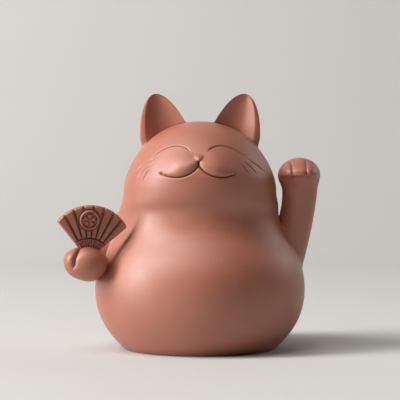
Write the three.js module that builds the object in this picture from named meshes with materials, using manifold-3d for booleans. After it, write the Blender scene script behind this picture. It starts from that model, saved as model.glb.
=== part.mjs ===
// Beckoning cat tea pet: a hollow, unglazed clay figure, press-moulded in pieces that are luted together.
// Millimetres, +Z up. The cat looks along -Y, so its own left side is +X.
// The origin is the middle of the base, on the surface that the figure stands on.

import * as THREE from 'three';
import { mergeVertices } from 'three/addons/utils/BufferGeometryUtils.js';
import Module from 'manifold-3d';

const wasm = await Module();
wasm.setup();

// Luted joints: the slip between two pieces
const JOINT_GAP = 0.3;

// Body outline: rises between the bends, from the base up
const BELLY_HEIGHT = 21;
const NECK_RISE = 28;
const CHEEK_RISE = 6.5;
const CROWN_RISE = 24.2;

// Body outline: half-widths at the bends, seen from the side, the front and the back
const SIDE_FOOT = 26.5;
const SIDE_BELLY = 36.9;
const SIDE_NECK = 27.6;
const SIDE_CHEEK = 26.9;
const FRONT_FOOT = 25.5;
const FRONT_BELLY = 35;
const FRONT_NECK = 24.5;
const FRONT_CHEEK = 27.4;
const BACK_FOOT = 25.5;
const BACK_BELLY = 34.5;
const BACK_NECK = 26.4;
const BACK_CHEEK = 26.6;

// Body outline: how far each bend's roundness reaches
const FOOT_FLARE = 6.4;
const FOOT_LIFT = 5.6;
const BELLY_UNDER = 9;
const BELLY_OVER = 13.1;
const NECK_UNDER = 9.4;
const CHEEK_OVER = 7;
const CROWN_ROUND = 19;

// Hollow of the body, and the slab that closes it
const WALL = 4.5;
const FOOT_RIM = 2.3;
const SLAB_THICKNESS = 4;
const LEDGE_WIDTH = 2.8;
const LEDGE_THICKNESS = 2.5;
const VENT_RADIUS = 4;
const VENT_OFFSET = 13;
const COIL_RADIUS = 1.8;
const COIL_FOOT_GAP = 3;

// Face: the middle of the face below the crown, then sizes about that middle
const FACE_DROP = 14.7;
const MUZZLE_SPREAD = 6.3;
const MUZZLE_DROP = 1.2;
const MUZZLE_HALF_WIDTH = 7.4;
const MUZZLE_HALF_HEIGHT = 5.4;
const MUZZLE_DEPTH = 2;
const NOSE_LIFT = 2.2;
const NOSE_HALF_WIDTH = 1.7;
const NOSE_HALF_HEIGHT = 1.3;
const NOSE_DEPTH = 1.4;
const LINE_RADIUS = 0.45;
const WHISKER_RADIUS = 0.35;

// Ears: leaf shapes, pinched hollow in front
const EAR_SPACING = 25.4;
const EAR_SINK = 1.1;
const EAR_HEIGHT = 14.6;
const EAR_HALF_WIDTH = 8.7;
const EAR_LEAN = 14.5;
const EAR_BACK_DEPTH = 4;
const EAR_RIM_DEPTH = 2;
const EAR_WALL = 1.8;
const EAR_ROOT = 6;

// Raised arm, on the cat's left
const ARM_ROOT_DROP = 20;
const ARM_ROOT_DEPTH = 6.6;
const ARM_ROOT_BACK = 3;
const ELBOW_REACH = 7.5;
const ELBOW_DROP = 1;
const PAW_REACH = 6.2;
const PAW_LIFT = 11.7;
const PAW_FORWARD = 2;
const ARM_ROOT_RADIUS = 7.2;
const ARM_MIDDLE_RADIUS = 6;
const ARM_WRIST_RADIUS = 6.2;
const PAW_HALF_WIDTH = 7.25;
const PAW_HALF_DEPTH = 7;
const PAW_HALF_HEIGHT = 5.6;
const TOE_GROOVE_RADIUS = 0.6;
const TOE_SPACING = 2.9;
const TOE_LOW_ANGLE = -12;
const TOE_HIGH_ANGLE = 40;

// Fan arm, on the cat's right: angles about the body from the front, in degrees
const FAN_ARM_ROOT_ANGLE = 86;
const FAN_ARM_UPPER_ANGLE = 92;
const FAN_ARM_LOWER_ANGLE = 85;
const FAN_PAW_ANGLE = 63;
const FAN_ARM_ROOT_LIFT = 1;
const FAN_ARM_UPPER_DROP = 11;
const FAN_ARM_LOWER_DROP = 23.5;
const FAN_PAW_DROP = 18.4;
const FAN_ARM_ROOT_DEPTH = 8;
const FAN_ARM_UPPER_DEPTH = 1.5;
const FAN_ARM_LOWER_PROUD = 3.2;
const FAN_PAW_PROUD = 8.2;
const FAN_ARM_ROOT_RADIUS = 5.4;
const FAN_ARM_WRIST_RADIUS = 5.5;
const FAN_PAW_HALF_WIDTH = 7.4;
const FAN_PAW_HALF_DEPTH = 6.2;
const FAN_PAW_HALF_HEIGHT = 5.9;
const FAN_TOE_OFFSET = 3.1;
const FAN_TOE_HIGH_ANGLE = 50;

// Folding fan, about its pivot in the paw
const FAN_REACH = 18.7;
const FAN_EDGE_RADIUS = 14.5;
const FAN_HALF_SPREAD = 44;
const FAN_THICKNESS = 1.9;
const FAN_TANG = 2;
const FAN_LEAN = 9;
const FAN_TURN = 15;
const FAN_TILT = 5.2;
const FAN_PIVOT_ACROSS = 0.6;
const FAN_PIVOT_UP = 1.2;
const PLEAT_COUNT = 8;
const PLEAT_DEPTH = 0.6;
const PLEAT_STEP = 1.5;
const RIB_BAND_REACH = 7.3;
const MEDALLION_ACROSS = -1.3;
const MEDALLION_DISTANCE = 13.8;
const MEDALLION_RADIUS = 3.4;
const MEDALLION_THICKNESS = 1.3;
const MEDALLION_RIM = 0.6;
const MEDALLION_SINK = 0.5;
const PETAL_COUNT = 5;
const PETAL_RADIUS = 0.8;
const PETAL_DISTANCE = 1.25;
const PETAL_HEIGHT = 0.45;

// Tail, curled up against the back: angles about the body from the front, in degrees
const TAIL_ROOT_ANGLE = 182;
const TAIL_BEND_ANGLE = 177;
const TAIL_CURL_ANGLE = 163;
const TAIL_TIP_ANGLE = 159;
const TAIL_ROOT_HEIGHT = 9;
const TAIL_CURL_HEIGHT = 15;
const TAIL_TIP_HEIGHT = 23;
const TAIL_ROOT_DEPTH = 4;
const TAIL_PROUD = 3.4;
const TAIL_TIP_PROUD = 1.6;
const TAIL_ROOT_RADIUS = 4.4;
const TAIL_TIP_RADIUS = 3.2;

// Lines cut in the face, in millimetres from the middle of the face: across, then up
const EYE_LINE = [[3.3, 3.6], [6.2, 6.2], [10.5, 5.6], [15.8, 1.6]];
const MOUTH_LINE = [[0, -1.4], [3.2, -6.4], [9, -6.2], [12.7, -4.2]];
const WHISKER_LINES = [
  [[16, 0.7], [18, -0.1], [20, -1.6], [21.6, -3.6]],
  [[15.3, -0.5], [17.3, -1.7], [19.1, -3.4], [20.5, -5.6]],
  [[15.3, -1.7], [16.6, -2.8], [17.8, -4.4], [18.6, -6.4]],
];

// Fineness of the round surfaces
const FRONT_COLUMNS = 28;
const FACE_CROWDING = 0.3;
const BACK_COLUMNS = 16;
const OUTER_ROWS = [6, 6, 4, 12];
const HOLLOW_COLUMNS = 10;
const HOLLOW_ROWS = [4, 5, 3, 6];
const ROUND_SIDES = 40;
const BAR_SIDES = 6;
const LIMB_SIDES = 14;
const BALL_SIDES = 20;
const BEAD_SIDES = 10;
const LIMB_STEPS = 9;
const CAP_STEPS = 3;
const EAR_STEPS = 9;
const EAR_SIDES = 8;
const LINE_STEPS = 10;
const MERGE_DISTANCE = 1e-4;
const SEARCH_STEPS = 40;

const DEGREE = Math.PI / 180;
const CAT_LEFT = 1;
const CAT_RIGHT = -1;

const neckHeight = BELLY_HEIGHT + NECK_RISE;
const cheekHeight = neckHeight + CHEEK_RISE;
const crownHeight = cheekHeight + CROWN_RISE;
const faceHeight = crownHeight - FACE_DROP;
const slabRadius = Math.min(SIDE_FOOT, FRONT_FOOT, BACK_FOOT) - FOOT_RIM;
const hollowFloor = SLAB_THICKNESS + LEDGE_THICKNESS;
const farReach = 2 * (crownHeight + SIDE_BELLY + FRONT_BELLY + BACK_BELLY);

const clay = new THREE.MeshStandardMaterial({ color: '#a8644c', roughness: 0.5, metalness: 0 });
const innerClay = new THREE.MeshStandardMaterial({ color: '#9a5a45', roughness: 0.8, metalness: 0 });
const fanClay = new THREE.MeshStandardMaterial({ color: '#9c5b46', roughness: 0.5, metalness: 0 });

// Meshes and solids

function faceOut(geometry) {
  const index = geometry.index.array;
  const position = geometry.attributes.position;
  const [a, b, c] = [new THREE.Vector3(), new THREE.Vector3(), new THREE.Vector3()];
  let volume = 0;
  for (let i = 0; i < index.length; i += 3) {
    a.fromBufferAttribute(position, index[i]);
    b.fromBufferAttribute(position, index[i + 1]);
    c.fromBufferAttribute(position, index[i + 2]);
    volume += a.dot(b.cross(c));
  }
  if (volume < 0) index.reverse();
  return geometry;
}

function meshOf(points, triangles) {
  const geometry = new THREE.BufferGeometry().setFromPoints(points);
  geometry.setIndex(triangles);
  return faceOut(geometry);
}

// A closed skin over loops of points, with one more point closing each end
function skin(loops, startPoint, endPoint) {
  const count = loops[0].length;
  const top = loops.length - 1;
  const endIndex = 1 + loops.length * count;
  const at = (row, column) => 1 + row * count + (column % count);
  const triangles = [];
  for (let column = 0; column < count; column += 1) {
    triangles.push(0, at(0, column + 1), at(0, column));
    triangles.push(endIndex, at(top, column), at(top, column + 1));
    for (let row = 0; row < top; row += 1) {
      triangles.push(at(row, column), at(row, column + 1), at(row + 1, column + 1));
      triangles.push(at(row, column), at(row + 1, column + 1), at(row + 1, column));
    }
  }
  return meshOf([startPoint, ...loops.flat(), endPoint], triangles);
}

// A closed plate between two grids of points that match row by row
function plate(front, back) {
  const rows = front.length;
  const columns = front[0].length;
  const top = rows - 1;
  const right = columns - 1;
  const near = (row, column) => row * columns + column;
  const far = (row, column) => (rows + row) * columns + column;
  const triangles = [];
  const quad = (a, b, c, d) => triangles.push(a, b, c, a, c, d);
  for (let row = 0; row < top; row += 1) {
    for (let column = 0; column < right; column += 1) {
      quad(near(row, column), near(row, column + 1), near(row + 1, column + 1), near(row + 1, column));
      quad(far(row, column), far(row + 1, column), far(row + 1, column + 1), far(row, column + 1));
    }
    quad(far(row, 0), near(row, 0), near(row + 1, 0), far(row + 1, 0));
    quad(near(row, right), far(row, right), far(row + 1, right), near(row + 1, right));
  }
  for (let column = 0; column < right; column += 1) {
    quad(far(0, column), far(0, column + 1), near(0, column + 1), near(0, column));
    quad(near(top, column), near(top, column + 1), far(top, column + 1), far(top, column));
  }
  return meshOf([...front.flat(), ...back.flat()], triangles);
}

function toSolid(geometry) {
  const bare = geometry.clone();
  bare.deleteAttribute('normal');
  bare.deleteAttribute('uv');
  const merged = mergeVertices(bare, MERGE_DISTANCE);
  const index = merged.index.array;
  const triangles = [];
  for (let i = 0; i < index.length; i += 3) {
    const [a, b, c] = index.slice(i, i + 3);
    if (a !== b && b !== c && c !== a) triangles.push(a, b, c);
  }
  return new wasm.Manifold(new wasm.Mesh({
    numProp: 3,
    vertProperties: new Float32Array(merged.attributes.position.array),
    triVerts: new Uint32Array(triangles),
  }));
}

function toMesh(name, solid, material) {
  const { vertProperties, triVerts } = solid.getMesh();
  const geometry = new THREE.BufferGeometry();
  geometry.setAttribute('position', new THREE.BufferAttribute(vertProperties, 3));
  geometry.setIndex(new THREE.BufferAttribute(triVerts, 1));
  geometry.computeVertexNormals();
  const mesh = new THREE.Mesh(geometry, material);
  mesh.name = name;
  return mesh;
}

function box(low, high) {
  const geometry = new THREE.BoxGeometry(high[0] - low[0], high[1] - low[1], high[2] - low[2]);
  geometry.translate((low[0] + high[0]) / 2, (low[1] + high[1]) / 2, (low[2] + high[2]) / 2);
  return toSolid(geometry);
}

function uprightCylinder(radius, low, high) {
  const geometry = new THREE.CylinderGeometry(radius, radius, high - low, ROUND_SIDES);
  geometry.rotateX(Math.PI / 2);
  geometry.translate(0, 0, (low + high) / 2);
  return toSolid(geometry);
}

function ellipsoid(centre, halfWidth, halfDepth, halfHeight, sides) {
  const geometry = new THREE.SphereGeometry(1, sides, sides / 2);
  geometry.scale(halfWidth, halfDepth, halfHeight);
  geometry.translate(centre.x, centre.y, centre.z);
  return toSolid(geometry);
}

// A round bar along a path of points
function bar(points, radius, steps) {
  const section = new THREE.Shape();
  section.absarc(0, 0, radius, 0, 2 * Math.PI);
  return toSolid(new THREE.ExtrudeGeometry(section, {
    steps,
    curveSegments: BAR_SIDES / 2,
    bevelEnabled: false,
    extrudePath: new THREE.CatmullRomCurve3(points),
  }));
}

// A limb along a curve, with its thickness set at the root, the middle and the tip, and both ends rounded
function limb(path, rootRadius, middleRadius, tipRadius, across) {
  const radii = [rootRadius, middleRadius, tipRadius];
  const thickness = new THREE.SplineCurve(radii.map((radius, k) => new THREE.Vector2(k, radius)));
  const loop = (centre, tangent, radius) => {
    const side = new THREE.Vector3().crossVectors(tangent, across).normalize();
    const up = new THREE.Vector3().crossVectors(side, tangent);
    const points = [];
    for (let k = 0; k < LIMB_SIDES; k += 1) {
      const angle = (2 * Math.PI * k) / LIMB_SIDES;
      const reach = side.clone().multiplyScalar(radius * Math.cos(angle));
      points.push(centre.clone().add(reach).addScaledVector(up, radius * Math.sin(angle)));
    }
    return points;
  };
  const cap = (t, radius, direction) => {
    const loops = [];
    for (let step = 1; step <= CAP_STEPS; step += 1) {
      const angle = (Math.PI / 2) * (step / (CAP_STEPS + 1));
      const tangent = path.getTangent(t);
      const centre = path.getPoint(t).addScaledVector(tangent, direction * radius * Math.sin(angle));
      loops.push(loop(centre, tangent, radius * Math.cos(angle)));
    }
    return loops;
  };
  const shaft = [];
  for (let step = 0; step <= LIMB_STEPS; step += 1) {
    const t = step / LIMB_STEPS;
    shaft.push(loop(path.getPoint(t), path.getTangent(t), thickness.getPoint(t).y));
  }
  const loops = [...cap(0, rootRadius, -1).reverse(), ...shaft, ...cap(1, tipRadius, 1)];
  const start = path.getPoint(0).addScaledVector(path.getTangent(0), -rootRadius);
  const end = path.getPoint(1).addScaledVector(path.getTangent(1), tipRadius);
  return toSolid(skin(loops, start, end));
}

// Body outline and surface

function bend(...points) {
  return new THREE.CubicBezierCurve(...points.map(([across, up]) => new THREE.Vector2(across, up)));
}

function outline(foot, belly, neck, cheek) {
  const bellyBottom = BELLY_HEIGHT - BELLY_UNDER;
  const bellyTop = BELLY_HEIGHT + BELLY_OVER;
  const middle = (neckHeight + cheekHeight) / 2;
  const cheekTop = cheekHeight + CHEEK_OVER;
  return [
    bend([foot, 0], [foot + FOOT_FLARE, FOOT_LIFT], [belly, bellyBottom], [belly, BELLY_HEIGHT]),
    bend([belly, BELLY_HEIGHT], [belly, bellyTop], [neck, neckHeight - NECK_UNDER], [neck, neckHeight]),
    bend([neck, neckHeight], [neck, middle], [cheek, middle], [cheek, cheekHeight]),
    bend([cheek, cheekHeight], [cheek, cheekTop], [CROWN_ROUND, crownHeight], [0, crownHeight]),
  ];
}

const SIDE_OUTLINE = outline(SIDE_FOOT, SIDE_BELLY, SIDE_NECK, SIDE_CHEEK);
const FRONT_OUTLINE = outline(FRONT_FOOT, FRONT_BELLY, FRONT_NECK, FRONT_CHEEK);
const BACK_OUTLINE = outline(BACK_FOOT, BACK_BELLY, BACK_NECK, BACK_CHEEK);

// A point of an outline, moved out of the body by an offset
function outlinePoint(bends, part, t, offset) {
  const point = bends[part].getPoint(t);
  const tangent = bends[part].getTangent(t);
  return new THREE.Vector2(point.x + offset * tangent.y, point.y - offset * tangent.x);
}

// How far the two rounded cheeks of the muzzle stand out of the face
function muzzle(across, height) {
  const sideways = (Math.abs(across) - MUZZLE_SPREAD) / MUZZLE_HALF_WIDTH;
  const upward = (height - faceHeight + MUZZLE_DROP) / MUZZLE_HALF_HEIGHT;
  const nearness = Math.max(0, 1 - sideways * sideways - upward * upward);
  return MUZZLE_DEPTH * nearness * nearness;
}

// A loop round the body, with columns that crowd towards the face
function bodyLoop(part, t, offset, frontColumns, backColumns) {
  const side = outlinePoint(SIDE_OUTLINE, part, t, offset);
  const front = outlinePoint(FRONT_OUTLINE, part, t, offset);
  const back = outlinePoint(BACK_OUTLINE, part, t, offset);
  const points = [];
  const add = (angle, depth, hasFace) => {
    const [sine, cosine] = [Math.sin(angle), Math.cos(angle)];
    const height = side.y * sine * sine + depth.y * cosine * cosine;
    const across = side.x * sine;
    const proud = hasFace ? muzzle(across, height) : 0;
    points.push(new THREE.Vector3(across, -depth.x * cosine - proud, height));
  };
  for (let k = 0; k < frontColumns; k += 1) {
    const spread = (2 * k) / frontColumns - 1;
    const eased = spread * (1 - FACE_CROWDING + FACE_CROWDING * spread * spread);
    add((Math.PI / 2) * eased, front, offset >= 0);
  }
  for (let k = 0; k < backColumns; k += 1) {
    add(Math.PI * (0.5 + k / backColumns), back, false);
  }
  return points;
}

function bodySolid(offset, frontColumns, backColumns, rows) {
  const loops = [];
  rows.forEach((count, part) => {
    const last = part === rows.length - 1 ? count - 1 : count;
    for (let row = part === 0 ? 0 : 1; row <= last; row += 1) {
      loops.push(bodyLoop(part, row / count, offset, frontColumns, backColumns));
    }
  });
  const base = new THREE.Vector3(0, 0, outlinePoint(SIDE_OUTLINE, 0, 0, offset).y);
  const crown = new THREE.Vector3(0, 0, crownHeight + offset);
  return toSolid(skin(loops, base, crown));
}

// Where an outline stands at a height, found by halving
function halfWidthAt(bends, height) {
  const part = Math.max(0, bends.findLastIndex((piece) => piece.v0.y <= height));
  let [low, high] = [0, 1];
  for (let k = 0; k < SEARCH_STEPS; k += 1) {
    const middle = (low + high) / 2;
    if (bends[part].getPoint(middle).y < height) low = middle;
    else high = middle;
  }
  return bends[part].getPoint(low).x;
}

// How high the side of the head is at a distance from the middle
function headHeightAt(across) {
  const brow = SIDE_OUTLINE.at(-1);
  let [low, high] = [0, 1];
  for (let k = 0; k < SEARCH_STEPS; k += 1) {
    const middle = (low + high) / 2;
    if (brow.getPoint(middle).x > across) low = middle;
    else high = middle;
  }
  return brow.getPoint(low).y;
}

// A point beside the body, at an angle from the front towards the cat's left, moved out by an offset
function beside(degrees, height, offset) {
  const angle = degrees * DEGREE;
  const width = halfWidthAt(SIDE_OUTLINE, height);
  const depth = halfWidthAt(Math.cos(angle) > 0 ? FRONT_OUTLINE : BACK_OUTLINE, height);
  const out = new THREE.Vector3(Math.sin(angle) / width, -Math.cos(angle) / depth, 0).normalize();
  const point = new THREE.Vector3(width * Math.sin(angle), -depth * Math.cos(angle), height);
  return point.addScaledVector(out, offset);
}

// A point on the face, from distances about the middle of the face
function facePoint(across, up) {
  const height = faceHeight + up;
  const share = across / halfWidthAt(SIDE_OUTLINE, height);
  const depth = halfWidthAt(FRONT_OUTLINE, height) * Math.sqrt(1 - share * share);
  return new THREE.Vector3(across, -depth - muzzle(across, height), height);
}

// Two halves of the hollow body

function faceLine(points, side, radius) {
  const line = bend(...points).getPoints(LINE_STEPS);
  return bar(line.map((spot) => facePoint(side * spot.x, spot.y)), radius, LINE_STEPS);
}

function faceLines() {
  const lines = [CAT_LEFT, CAT_RIGHT].flatMap((side) => [
    faceLine(EYE_LINE, side, LINE_RADIUS),
    faceLine(MOUTH_LINE, side, LINE_RADIUS),
    ...WHISKER_LINES.map((points) => faceLine(points, side, WHISKER_RADIUS)),
  ]);
  return lines.reduce((all, line) => all.add(line));
}

function makeShells() {
  const outside = bodySolid(0, FRONT_COLUMNS, BACK_COLUMNS, OUTER_ROWS);
  const inside = bodySolid(-WALL, HOLLOW_COLUMNS, HOLLOW_COLUMNS, HOLLOW_ROWS);
  const hollow = inside.intersect(box([-farReach, -farReach, hollowFloor], [farReach, farReach, farReach]));
  const mouth = uprightCylinder(slabRadius - LEDGE_WIDTH, -hollowFloor, 2 * hollowFloor);
  const seat = uprightCylinder(slabRadius + JOINT_GAP, -SLAB_THICKNESS, SLAB_THICKNESS);
  const body = outside.subtract(hollow).subtract(mouth).subtract(seat);
  const front = body.intersect(box([-farReach, -farReach, -farReach], [farReach, 0, farReach]));
  const back = body.intersect(box([-farReach, 0, -farReach], [farReach, farReach, farReach]));
  return [
    toMesh('front_shell', front.subtract(faceLines()), clay),
    toMesh('back_shell', back, clay),
  ];
}

// Slab that closes the foot, with a vent for firing

function makeBaseSlab() {
  const disc = new THREE.Shape();
  disc.absarc(0, 0, slabRadius, 0, 2 * Math.PI);
  const vent = new THREE.Path();
  vent.absarc(0, VENT_OFFSET, VENT_RADIUS, 0, 2 * Math.PI);
  disc.holes.push(vent);
  const settings = { depth: SLAB_THICKNESS, bevelEnabled: false, curveSegments: ROUND_SIDES / 2 };
  return toMesh('base_slab', toSolid(new THREE.ExtrudeGeometry(disc, settings)), innerClay);
}

// Coil of clay pressed over the seam inside the body

function makeSeamCoil() {
  const inset = -(WALL + JOINT_GAP + COIL_RADIUS);
  const side = [];
  HOLLOW_ROWS.forEach((count, part) => {
    for (let row = 0; row < count; row += 1) side.push(outlinePoint(SIDE_OUTLINE, part, row / count, inset));
  });
  const wall = side.filter((point) => point.y > hollowFloor + COIL_FOOT_GAP);
  const up = wall.map((point) => new THREE.Vector3(-point.x, 0, point.y));
  const down = wall.map((point) => new THREE.Vector3(point.x, 0, point.y)).reverse();
  const top = new THREE.Vector3(0, 0, crownHeight + inset);
  const points = [...up, top, ...down];
  return toMesh('seam_coil', bar(points, COIL_RADIUS, points.length), innerClay);
}

// Ears

function makeEar(name, side, bodyClear) {
  const across = (side * EAR_SPACING) / 2;
  const root = new THREE.Vector3(across, 0, headHeightAt(Math.abs(across)) - EAR_SINK);
  const axis = new THREE.Vector3(side * Math.sin(EAR_LEAN * DEGREE), 0, Math.cos(EAR_LEAN * DEGREE));
  const sideways = new THREE.Vector3(axis.z, 0, -axis.x);
  const loops = [];
  for (let step = 0; step <= EAR_STEPS; step += 1) {
    const rise = -EAR_ROOT + (EAR_ROOT + EAR_HEIGHT) * Math.sin((Math.PI / 2) * (step / (EAR_STEPS + 1)));
    const taper = Math.sqrt(Math.min(1, 1 - rise / EAR_HEIGHT));
    const hollow = Math.min(1, Math.max(0, 1 + rise / EAR_ROOT));
    const loop = [];
    for (let k = 0; k < 2 * EAR_SIDES; k += 1) {
      const angle = (Math.PI * k) / EAR_SIDES;
      const round = Math.abs(Math.sin(angle));
      const dent = (EAR_BACK_DEPTH + EAR_RIM_DEPTH - EAR_WALL) * hollow * round ** 4;
      const depth = k < EAR_SIDES ? EAR_BACK_DEPTH * round : dent - EAR_RIM_DEPTH * round;
      const point = root.clone().addScaledVector(axis, rise);
      point.addScaledVector(sideways, EAR_HALF_WIDTH * taper * Math.cos(angle));
      point.y += depth * taper;
      loop.push(point);
    }
    loops.push(loop);
  }
  const start = root.clone().addScaledVector(axis, -EAR_ROOT);
  const tip = root.clone().addScaledVector(axis, EAR_HEIGHT);
  return toMesh(name, toSolid(skin(loops, start, tip)).subtract(bodyClear), clay);
}

// Nose

function makeNose(bodyClear) {
  const spot = facePoint(0, NOSE_LIFT);
  const pellet = ellipsoid(spot, NOSE_HALF_WIDTH, NOSE_DEPTH, NOSE_HALF_HEIGHT, BEAD_SIDES);
  return toMesh('nose', pellet.subtract(bodyClear), clay);
}

// Arms and paws

function toeGroove(centre, across, halfWidth, halfDepth, halfHeight, lowest, highest) {
  const narrow = Math.sqrt(1 - (across / halfWidth) ** 2);
  const points = [];
  for (let step = 0; step <= LINE_STEPS; step += 1) {
    const angle = (lowest + (highest - lowest) * (step / LINE_STEPS)) * DEGREE;
    const forward = -halfDepth * narrow * Math.cos(angle);
    const upward = halfHeight * narrow * Math.sin(angle);
    points.push(centre.clone().add(new THREE.Vector3(across, forward, upward)));
  }
  return bar(points, TOE_GROOVE_RADIUS, LINE_STEPS);
}

function makeRaisedArm(bodyClear) {
  const root = beside(90, neckHeight - ARM_ROOT_DROP, -ARM_ROOT_DEPTH);
  root.y = ARM_ROOT_BACK;
  const elbow = new THREE.Vector3(root.x + ELBOW_REACH, 0, neckHeight - ELBOW_DROP);
  const paw = new THREE.Vector3(root.x + PAW_REACH, -PAW_FORWARD, neckHeight + PAW_LIFT);
  const path = new THREE.QuadraticBezierCurve3(root, elbow, paw);
  const depthwise = new THREE.Vector3(0, 1, 0);
  const forearm = limb(path, ARM_ROOT_RADIUS, ARM_MIDDLE_RADIUS, ARM_WRIST_RADIUS, depthwise);
  const sizes = [PAW_HALF_WIDTH, PAW_HALF_DEPTH, PAW_HALF_HEIGHT];
  let arm = forearm.add(ellipsoid(paw, ...sizes, BALL_SIDES)).subtract(bodyClear);
  for (const across of [-TOE_SPACING, TOE_SPACING]) {
    arm = arm.subtract(toeGroove(paw, across, ...sizes, TOE_LOW_ANGLE, TOE_HIGH_ANGLE));
  }
  return toMesh('raised_arm', arm, clay);
}

function fanPaw() {
  return beside(-FAN_PAW_ANGLE, neckHeight - FAN_PAW_DROP, FAN_PAW_PROUD);
}

function makeFanArm(bodyClear, fanPlace) {
  const root = beside(-FAN_ARM_ROOT_ANGLE, neckHeight + FAN_ARM_ROOT_LIFT, -FAN_ARM_ROOT_DEPTH);
  const upper = beside(-FAN_ARM_UPPER_ANGLE, neckHeight - FAN_ARM_UPPER_DROP, -FAN_ARM_UPPER_DEPTH);
  const lower = beside(-FAN_ARM_LOWER_ANGLE, neckHeight - FAN_ARM_LOWER_DROP, FAN_ARM_LOWER_PROUD);
  const paw = fanPaw();
  const path = new THREE.CubicBezierCurve3(root, upper, lower, paw);
  const middleRadius = (FAN_ARM_ROOT_RADIUS + FAN_ARM_WRIST_RADIUS) / 2;
  const depthwise = new THREE.Vector3(0, 1, 0);
  const forearm = limb(path, FAN_ARM_ROOT_RADIUS, middleRadius, FAN_ARM_WRIST_RADIUS, depthwise);
  const sizes = [FAN_PAW_HALF_WIDTH, FAN_PAW_HALF_DEPTH, FAN_PAW_HALF_HEIGHT];
  const slot = toSolid(fanSlot().applyMatrix4(fanPlace));
  let arm = forearm.add(ellipsoid(paw, ...sizes, BALL_SIDES)).subtract(bodyClear).subtract(slot);
  arm = arm.subtract(toeGroove(paw, -FAN_TOE_OFFSET, ...sizes, TOE_LOW_ANGLE, FAN_TOE_HIGH_ANGLE));
  return toMesh('fan_arm', arm, clay);
}

// Folding fan: its own plane is upright, with the pivot at the middle and the pleats facing -Y

function fanEdge(angle) {
  const lift = FAN_REACH - FAN_EDGE_RADIUS;
  return lift * Math.cos(angle) + Math.sqrt(FAN_EDGE_RADIUS ** 2 - (lift * Math.sin(angle)) ** 2);
}

function fanSpot(angle, radius, depth) {
  return new THREE.Vector3(radius * Math.sin(angle), depth, radius * Math.cos(angle));
}

// Room for the fan, wider than the fan by the gap on every side
function fanSlot() {
  const half = FAN_HALF_SPREAD * DEGREE;
  const front = -FAN_THICKNESS / 2 - PLEAT_DEPTH - JOINT_GAP;
  const back = FAN_THICKNESS / 2 + JOINT_GAP;
  const angles = [];
  for (let k = 0; k <= 2 * PLEAT_COUNT; k += 1) angles.push(half * (k / PLEAT_COUNT - 1));
  const spot = (angle, radius, depth) => {
    const side = Math.abs(angle) === half ? Math.sign(angle) * JOINT_GAP : 0;
    const shift = new THREE.Vector3(side * Math.cos(half), 0, -Math.abs(side) * Math.sin(half));
    return fanSpot(angle, radius, depth).add(shift);
  };
  const face = (depth) => [
    angles.map((angle) => spot(angle, FAN_TANG - JOINT_GAP, depth)),
    angles.map((angle) => spot(angle, fanEdge(angle) + JOINT_GAP, depth)),
  ];
  return plate(face(front), face(back));
}

function makeFan() {
  const half = FAN_HALF_SPREAD * DEGREE;
  const pleat = (2 * half) / PLEAT_COUNT;
  const columns = [];
  for (let k = 0; k < PLEAT_COUNT; k += 1) {
    columns.push({ angle: -half + k * pleat, proud: PLEAT_DEPTH });
    columns.push({ angle: -half + (k + 1) * pleat - PLEAT_STEP * DEGREE, proud: 0 });
  }
  columns.push({ angle: half, proud: PLEAT_DEPTH });
  const face = (depth, pleated) => [
    columns.map(({ angle }) => fanSpot(angle, FAN_TANG, depth)),
    columns.map(({ angle }) => fanSpot(angle, RIB_BAND_REACH, depth)),
    columns.map(({ angle, proud }) => fanSpot(angle, fanEdge(angle), depth - pleated * proud)),
  ];
  const blade = toSolid(plate(face(-FAN_THICKNESS / 2, 1), face(FAN_THICKNESS / 2, 0)));
  const room = MEDALLION_RADIUS + JOINT_GAP;
  const height = FAN_THICKNESS + PLEAT_DEPTH + MEDALLION_SINK;
  const pocket = new THREE.CylinderGeometry(room, room, height, ROUND_SIDES);
  pocket.translate(MEDALLION_ACROSS, MEDALLION_SINK - FAN_THICKNESS / 2 - height / 2, MEDALLION_DISTANCE);
  return toMesh('fan', blade.subtract(toSolid(pocket)), fanClay);
}

// Roundel on the fan: a plain rim round a five-petalled blossom

function makeMedallion() {
  const inner = MEDALLION_RADIUS - MEDALLION_RIM;
  const field = MEDALLION_THICKNESS - MEDALLION_RIM;
  const profile = [
    [0, 0],
    [MEDALLION_RADIUS, 0],
    [MEDALLION_RADIUS, field],
    [MEDALLION_RADIUS - MEDALLION_RIM / 2, MEDALLION_THICKNESS],
    [inner, field],
    [0, field],
  ];
  const points = profile.map(([across, up]) => new THREE.Vector2(across, up));
  const disc = new THREE.LatheGeometry(points, ROUND_SIDES / 2);
  let roundel = toSolid(faceOut(disc));
  for (let k = 0; k < PETAL_COUNT; k += 1) {
    const angle = (2 * Math.PI * k) / PETAL_COUNT;
    const spot = new THREE.Vector3(PETAL_DISTANCE * Math.sin(angle), field, PETAL_DISTANCE * Math.cos(angle));
    roundel = roundel.add(ellipsoid(spot, PETAL_RADIUS, PETAL_HEIGHT, PETAL_RADIUS, BEAD_SIDES));
  }
  const mesh = toMesh('fan_medallion', roundel, fanClay);
  const floor = MEDALLION_SINK - FAN_THICKNESS / 2 - JOINT_GAP;
  mesh.position.set(MEDALLION_ACROSS, floor, MEDALLION_DISTANCE);
  mesh.rotation.x = Math.PI;
  return mesh;
}

function makeFanGroup() {
  const group = new THREE.Group();
  group.position.copy(fanPaw()).add(new THREE.Vector3(FAN_PIVOT_ACROSS, 0, FAN_PIVOT_UP));
  group.rotation.set(FAN_LEAN * DEGREE, FAN_TILT * DEGREE, FAN_TURN * DEGREE, 'ZXY');
  group.add(makeFan(), makeMedallion());
  group.updateMatrix();
  return group;
}

// Tail

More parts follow.
